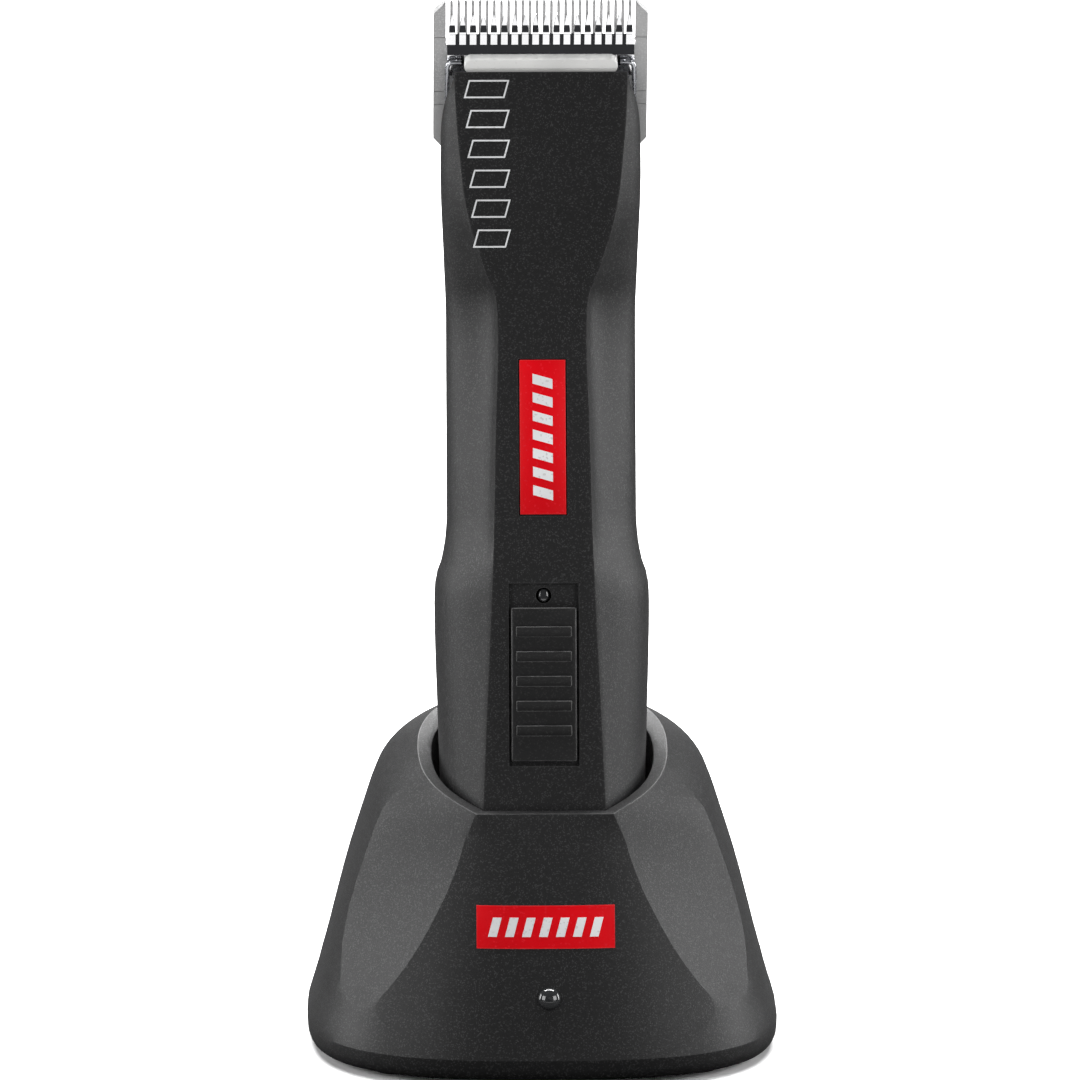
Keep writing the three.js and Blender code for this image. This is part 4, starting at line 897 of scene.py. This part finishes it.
def make_head_mark(ink):
    """A plain row of outlined slanted bars down one side of the head facet."""
    marks = []
    for i in range(6):
        station = 190.4 - i * 6.9
        marks.append((frame_bm(slanted_bar(9.4 - 0.35 * i, 4.2), 0.38, -0.12, 0.035), facet_place(-12.6 + 0.22 * i, station)))
    return dress(to_object(joined(marks), "head_mark", CLIPPER), ink, "handle", "white_plastic")


def bar_row(count, pitch, width, height, low, high):
    return [(slab_bm(slanted_bar(width, height), low, high), Matrix.Translation(((i - (count - 1) / 2) * pitch, 0, 0)))
            for i in range(count)]


def make_badge_marks(ink):
    quarter = Matrix.Rotation(pi / 2, 4, "Z")
    on_handle = HANDLE_BADGE @ Matrix.Rotation(pi / 2, 4, "X") @ quarter
    dress(to_object(joined(bar_row(7, 4.3, 2.3, 4.6, 0.15, 0.26)), "grip_badge_mark", on_handle), ink, "handle",
          "white_plastic")
    bars = to_object(joined(bar_row(7, 3.9, 2.0, 4.2, -12, 12)), "stand_badge_mark",
                     MM @ Matrix.Translation((0, -STAND_DEPTH + 11, STAND_BADGE[2])) @ Matrix.Rotation(pi / 2, 4, "X"))
    carve(bars, [(skin(stand_rings(-0.26)), STAND)], "INTERSECT")
    carve(bars, [(skin(stand_rings(0.1)), STAND)])
    dress(bars, ink, "stand", "white_plastic")


# ---------------------------------------------------------------- surface effects
def effect(name, inputs, outputs):
    """A shared node group with its group input and output nodes."""
    tree = bpy.data.node_groups.new(name, "ShaderNodeTree")
    for socket, kind, value in inputs:
        tree.interface.new_socket(socket, in_out="INPUT", socket_type=kind).default_value = value
    for socket, kind in outputs:
        tree.interface.new_socket(socket, in_out="OUTPUT", socket_type=kind)
    return tree, tree.nodes.new("NodeGroupInput"), tree.nodes.new("NodeGroupOutput")


def add(tree, kind, **settings):
    """A node with its properties, and its inputs given by name or wired from a socket."""
    node = tree.nodes.new("ShaderNode" + kind)
    for key, value in settings.pop("set", {}).items():
        setattr(node, key, value)
    for key, value in settings.items():
        target = node.inputs[int(key[1:])] if key[0] == "i" and key[1:].isdigit() else node.inputs[key]
        if isinstance(value, bpy.types.NodeSocket):
            tree.links.new(value, target)
        else:
            target.default_value = value
    return node


def grain_effect():
    """Spark-eroded mould grain: pits, bright flecks and a slow change of tone."""
    tree, given, result = effect("moulded_grain", [
        ("Fineness", "NodeSocketFloat", 2600.0), ("Base", "NodeSocketColor", (0.02, 0.02, 0.02, 1)),
        ("Fleck", "NodeSocketColor", (0.1, 0.1, 0.1, 1)), ("Fleck Share", "NodeSocketFloat", 0.12),
        ("Smooth", "NodeSocketFloat", 0.4), ("Rough", "NodeSocketFloat", 0.55)],
        [("Color", "NodeSocketColor"), ("Roughness", "NodeSocketFloat"), ("Height", "NodeSocketFloat")])
    where = add(tree, "TexCoord").outputs["Object"]
    pits = add(tree, "TexNoise", Vector=where, Scale=given.outputs["Fineness"], Detail=2.0, Roughness=0.6)
    cells = add(tree, "TexVoronoi", Vector=where, Scale=given.outputs["Fineness"])
    pick = add(tree, "SeparateColor", Color=cells.outputs["Color"])
    flecks = add(tree, "Math", set={"operation": "LESS_THAN"}, i0=pick.outputs["Red"], i1=given.outputs["Fleck Share"])
    cloud = add(tree, "TexNoise", Vector=where, Scale=34.0, Detail=3.0)
    tone = add(tree, "MapRange", Value=cloud.outputs["Fac"], **{"From Min": 0.3, "From Max": 0.7, "To Min": 0.82,
                                                               "To Max": 1.18})
    shaded = add(tree, "VectorMath", set={"operation": "SCALE"}, Vector=given.outputs["Base"],
                 Scale=tone.outputs["Result"])
    mixed = add(tree, "Mix", set={"data_type": "RGBA"}, i0=flecks.outputs[0], i6=shaded.outputs["Vector"],
                i7=given.outputs["Fleck"])
    rough = add(tree, "MapRange", Value=pits.outputs["Fac"], **{"From Min": 0.3, "From Max": 0.7,
                                                               "To Min": given.outputs["Smooth"],
                                                               "To Max": given.outputs["Rough"]})
    tree.links.new(mixed.outputs[2], result.inputs["Color"])
    tree.links.new(rough.outputs["Result"], result.inputs["Roughness"])
    tree.links.new(pits.outputs["Fac"], result.inputs["Height"])
    return tree


def edge_wear_and_highlight_effect():
    """A mask that is white along outward and inward edges, for edge wear and a painted highlight along them."""
    tree, given, result = effect("worn_and_highlit_edges", [
        ("Radius", "NodeSocketFloat", 0.0004), ("Amount", "NodeSocketFloat", 1.0)], [("Mask", "NodeSocketFloat")])
    soft = add(tree, "Bevel", set={"samples": 4}, Radius=given.outputs["Radius"])
    true = add(tree, "NewGeometry")
    same = add(tree, "VectorMath", set={"operation": "DOT_PRODUCT"}, i0=soft.outputs["Normal"],
               i1=true.outputs["Normal"])
    turned = add(tree, "MapRange", Value=same.outputs["Value"], **{"From Min": 0.995, "From Max": 0.9, "To Min": 0.0,
                                                                  "To Max": 1.0})
    noise = add(tree, "TexNoise", Vector=add(tree, "TexCoord").outputs["Object"], Scale=300.0, Detail=2.0)
    broken = add(tree, "MapRange", Value=noise.outputs["Fac"], **{"From Min": 0.35, "From Max": 0.6, "To Min": 0.4,
                                                                 "To Max": 1.0})
    mask = add(tree, "Math", set={"operation": "MULTIPLY"}, i0=turned.outputs["Result"], i1=broken.outputs["Result"])
    scaled = add(tree, "Math", set={"operation": "MULTIPLY", "use_clamp": True}, i0=mask.outputs[0],
                 i1=given.outputs["Amount"])
    tree.links.new(scaled.outputs[0], result.inputs["Mask"])
    return tree


def ground_effect():
    """Fine parallel grinding or drawing marks, long in one direction."""
    tree, given, result = effect("ground_lines", [
        ("Stretch", "NodeSocketVector", (40, 4000, 4000)), ("Base", "NodeSocketColor", (0.6, 0.6, 0.6, 1)),
        ("Smooth", "NodeSocketFloat", 0.15), ("Rough", "NodeSocketFloat", 0.35)],
        [("Color", "NodeSocketColor"), ("Roughness", "NodeSocketFloat"), ("Height", "NodeSocketFloat")])
    where = add(tree, "TexCoord").outputs["Object"]
    drawn = add(tree, "VectorMath", set={"operation": "MULTIPLY"}, i0=where, i1=given.outputs["Stretch"])
    lines = add(tree, "TexNoise", Vector=drawn.outputs["Vector"], Scale=1.0, Detail=3.0)
    cloud = add(tree, "TexNoise", Vector=where, Scale=90.0, Detail=3.0)
    tone = add(tree, "MapRange", Value=cloud.outputs["Fac"], **{"From Min": 0.3, "From Max": 0.7, "To Min": 0.88,
                                                               "To Max": 1.05})
    shaded = add(tree, "VectorMath", set={"operation": "SCALE"}, Vector=given.outputs["Base"],
                 Scale=tone.outputs["Result"])
    rough = add(tree, "MapRange", Value=lines.outputs["Fac"], **{"From Min": 0.3, "From Max": 0.7,
                                                                "To Min": given.outputs["Smooth"],
                                                                "To Max": given.outputs["Rough"]})
    tree.links.new(shaded.outputs["Vector"], result.inputs["Color"])
    tree.links.new(rough.outputs["Result"], result.inputs["Roughness"])
    tree.links.new(lines.outputs["Fac"], result.inputs["Height"])
    return tree


GRAIN, EDGE_WEAR_AND_HIGHLIGHT, LINES = grain_effect(), edge_wear_and_highlight_effect(), ground_effect()


def finish_with(name, group, values, depth, edge=None, **shader):
    """A material: one surface effect, its bump and, where given, an edge tone that paints wear and a highlight along
    the edges.
    """
    material = bpy.data.materials.new(name)
    material.use_nodes = True
    tree = material.node_tree
    surface = tree.nodes["Principled BSDF"]
    for key, value in shader.items():
        surface.inputs[key.replace("_", " ")].default_value = value
    body = tree.nodes.new("ShaderNodeGroup")
    body.node_tree = group
    for key, value in values.items():
        body.inputs[key].default_value = value
    colour = body.outputs["Color"]
    # The edge tone is lighter than the base colour: a painted highlight along edges, partly also wear.
    if edge:
        rim = tree.nodes.new("ShaderNodeGroup")
        rim.node_tree = EDGE_WEAR_AND_HIGHLIGHT
        rim.inputs["Radius"].default_value, rim.inputs["Amount"].default_value = edge[1:]
        mixed = add(tree, "Mix", set={"data_type": "RGBA"}, i0=rim.outputs["Mask"], i6=colour, i7=(*edge[0], 1))
        colour = mixed.outputs[2]
    bump = add(tree, "Bump", Height=body.outputs["Height"], Distance=depth, Strength=1.0)
    tree.links.new(colour, surface.inputs["Base Color"])
    tree.links.new(body.outputs["Roughness"], surface.inputs["Roughness"])
    tree.links.new(bump.outputs["Normal"], surface.inputs["Normal"])
    return material


def grained(name, colour, fleck, share, fineness, smooth, rough, depth, edge=None, **shader):
    return finish_with(name, GRAIN, {"Base": (*colour, 1), "Fleck": (*fleck, 1), "Fleck Share": share,
                                     "Fineness": fineness, "Smooth": smooth, "Rough": rough}, depth, edge, **shader)


def ground(name, colour, stretch, smooth, rough, depth, edge=None, **shader):
    return finish_with(name, LINES, {"Base": (*colour, 1), "Stretch": stretch, "Smooth": smooth, "Rough": rough},
                       depth, edge, **shader)


# The edge tones are lighter than their base colours: painted highlights along edges, partly wear.
MATERIALS = {
    "shell_black": grained("shell_black", (0.007, 0.007, 0.0073), (0.034, 0.034, 0.035), 0.14, 4300, 0.42, 0.6,
                           0.00004, ((0.06, 0.06, 0.06), 0.0003, 0.8), Specular_IOR_Level=0.35),
    # slider_black is shell_black with a far lighter edge tone: a painted highlight on the slider's ridges and outline.
    "slider_black": grained("slider_black", (0.006, 0.006, 0.0062), (0.02, 0.02, 0.02), 0.1, 4300, 0.4, 0.55,
                            0.00002, ((0.3, 0.3, 0.3), 0.00022, 1.0), Specular_IOR_Level=0.35),
    "inner_plastic": grained("inner_plastic", (0.045, 0.047, 0.052), (0.08, 0.08, 0.085), 0.05, 3000, 0.45, 0.58,
                             0.00003, ((0.13, 0.13, 0.135), 0.0003, 0.7)),
    "white_plastic": grained("white_plastic", (0.88, 0.88, 0.86), (0.84, 0.84, 0.82), 0.04, 2600, 0.28, 0.4, 0.00001),
    "red_enamel": grained("red_enamel", (0.72, 0.0005, 0.006), (0.78, 0.01, 0.02), 0.06, 2600, 0.3, 0.42, 0.00002,
                          ((0.8, 0.1, 0.1), 0.0003, 0.6), Specular_IOR_Level=0.2),
    "rubber": grained("rubber", (0.012, 0.012, 0.012), (0.03, 0.03, 0.03), 0.05, 1800, 0.75, 0.9, 0.00004),
    "blasted_steel": grained("blasted_steel", (0.6, 0.6, 0.6), (0.68, 0.68, 0.68), 0.2, 5200, 0.42, 0.6, 0.00003,
                             ((0.6, 0.6, 0.6), 0.00025, 0.6), Metallic=1.0),
    "polished_steel": ground("polished_steel", (0.82, 0.82, 0.83), (60, 5200, 5200), 0.05, 0.12, 0.000002,
                             ((0.95, 0.95, 0.95), 0.0002, 0.5), Metallic=1.0),
    "zinc_steel": ground("zinc_steel", (0.56, 0.57, 0.6), (900, 2600, 900), 0.2, 0.36, 0.00001,
                         ((0.75, 0.75, 0.76), 0.0003, 0.5), Metallic=1.0),
    "brass": ground("brass", (0.74, 0.53, 0.22), (2600, 2600, 260), 0.2, 0.35, 0.00001, Metallic=1.0),
    "aluminium": grained("aluminium", (0.56, 0.57, 0.59), (0.7, 0.7, 0.7), 0.2, 1600, 0.38, 0.55, 0.00005,
                         ((0.8, 0.8, 0.8), 0.0003, 0.5), Metallic=1.0),
    "board_green": grained("board_green", (0.012, 0.1, 0.035), (0.05, 0.22, 0.1), 0.05, 900, 0.3, 0.45, 0.00002),
    "cell_wrap": grained("cell_wrap", (0.02, 0.13, 0.36), (0.03, 0.18, 0.44), 0.1, 700, 0.2, 0.32, 0.00002),
    "lens": grained("lens", (0.035, 0.036, 0.038), (0.06, 0.06, 0.062), 0.1, 900, 0.06, 0.12, 0.000002,
                    Coat_Weight=1.0, Coat_Roughness=0.05, Transmission_Weight=0.2, IOR=1.49),
    "print_ink": grained("print_ink", (0.8, 0.81, 0.82), (0.7, 0.7, 0.7), 0.08, 2400, 0.4, 0.5, 0.00001),
}

# ---------------------------------------------------------------- the object
M = MATERIALS
make_stand_shell(M["shell_black"])
make_stand_badge(M["red_enamel"])
make_housings(M["shell_black"])
make_handle_badge(M["red_enamel"])
make_slider(M["slider_black"])
make_lens(M["lens"])
make_comb(M["blasted_steel"])
make_cutter(M["polished_steel"])
make_guide_bar(M["white_plastic"])
make_spring(M["zinc_steel"])
make_socket(M["blasted_steel"])
make_screws(M["zinc_steel"])
make_lamp(M["lens"])
make_feet(M["rubber"])
make_battery_cap(M["shell_black"])
make_buttons(M["inner_plastic"])
make_release_button(M["inner_plastic"])
make_head_mark(M["print_ink"])
make_badge_marks(M["print_ink"])

for row in frame["record"]["subparts"]:
    node = bpy.data.objects.get(row["node"])
    if node is None or node.hide_render:
        continue
    node.data.materials.clear()
    node.data.materials.append(M[row["material_slot"]])

# ---------------------------------------------------------------- floor, light and camera
def make_floor_paint():
    """Pale matt paint that throws little light back onto the object."""
    paint = grained("floor_pale", (0.86, 0.86, 0.86), (0.84, 0.84, 0.84), 0.1, 300, 0.6, 0.75, 0.00001)
    tree = paint.node_tree
    damped = add(tree, "BsdfDiffuse", Color=(0.05, 0.05, 0.05, 1))
    seen = add(tree, "MixShader", Fac=add(tree, "LightPath").outputs["Is Camera Ray"])
    tree.links.new(damped.outputs["BSDF"], seen.inputs[1])
    tree.links.new(tree.nodes["Principled BSDF"].outputs["BSDF"], seen.inputs[2])
    tree.links.new(seen.outputs["Shader"], tree.nodes["Material Output"].inputs["Surface"])
    return paint


def make_sweep():
    """A pale floor that curves up into a backdrop."""
    reach, back, height, radius = 5.0, 2.6, 4.5, 1.2
    profile = [(-2.2, 0)] + [(back - radius + radius * sin(a), radius * (1 - cos(a)))
                             for a in (k / 16 * pi / 2 for k in range(17))] + [(back, height)]
    bm = bmesh.new()
    verts = [bm.verts.new((-reach, y, z - 0.0002)) for y, z in profile]
    edges = [bm.edges.new(pair) for pair in zip(verts, verts[1:])]
    raised = bmesh.ops.extrude_edge_only(bm, edges=edges)["geom"]
    bmesh.ops.translate(bm, vec=(2 * reach, 0, 0), verts=[v for v in raised if isinstance(v, bmesh.types.BMVert)])
    mesh = bpy.data.meshes.new("floor_sweep")
    bm.to_mesh(mesh)
    bm.free()
    floor = bpy.data.objects.new("floor_sweep", mesh)
    bpy.context.scene.collection.objects.link(floor)
    floor.data.materials.append(make_floor_paint())
    shade(floor, 40)


def make_light(name, place, aim, size, power):
    data = bpy.data.lights.new(name, "AREA")
    data.shape = "RECTANGLE"
    data.size, data.size_y = size
    data.energy = power
    light = bpy.data.objects.new(name, data)
    bpy.context.scene.collection.objects.link(light)
    light.location = place
    light.rotation_euler = (Vector(aim) - Vector(place)).to_track_quat("-Z", "Y").to_euler()


make_sweep()
make_light("left_softbox", (-1.5, 0.25, 0.5), (0, 0, 0.12), (0.9, 0.95), 18)
make_light("right_softbox", (1.5, 0.25, 0.5), (0, 0, 0.12), (0.9, 0.95), 19)
make_light("top_softbox", (0, 0.78, 1.35), (0, 0.6, 0), (1.5, 1.3), 110)
make_light("front_left_softbox", (-1.6, -1.6, 0.95), (0, 0, 0.12), (1.2, 1.2), 19)
make_light("front_right_softbox", (1.6, -1.6, 0.95), (0, 0, 0.12), (1.2, 1.2), 20)
make_light("floor_card", (0, -0.36, 0.012), (0, -0.36, 1), (0.8, 0.4), 1.1)

world = bpy.data.worlds.new("studio")
bpy.context.scene.world = world
world.use_nodes = True
world.node_tree.nodes["Background"].inputs["Color"].default_value = (0.9, 0.92, 1, 1)
world.node_tree.nodes["Background"].inputs["Strength"].default_value = 0.04
bpy.context.scene.view_settings.view_transform = "Standard"
bpy.context.scene.view_settings.look = "None"

DISTANCE, SIGHT_ELEVATION, SIGHT_AZIMUTH = 3.0, radians(11), radians(-1.2)
FIELD, AIM_HEIGHT = 0.2503, 0.11715
camera = bpy.data.objects.new("camera", bpy.data.cameras.new("camera"))
bpy.context.scene.collection.objects.link(camera)
aim = Vector((-0.0004, 0, AIM_HEIGHT))
sight = Vector((sin(SIGHT_AZIMUTH) * cos(SIGHT_ELEVATION), -cos(SIGHT_AZIMUTH) * cos(SIGHT_ELEVATION),
                sin(SIGHT_ELEVATION)))
camera.location = aim + sight * DISTANCE
camera.rotation_euler = (-sight).to_track_quat("-Z", "Y").to_euler()
camera.data.sensor_width = 36
camera.data.lens = 36 * DISTANCE / FIELD
camera.data.clip_end = 50
bpy.context.scene.camera = camera
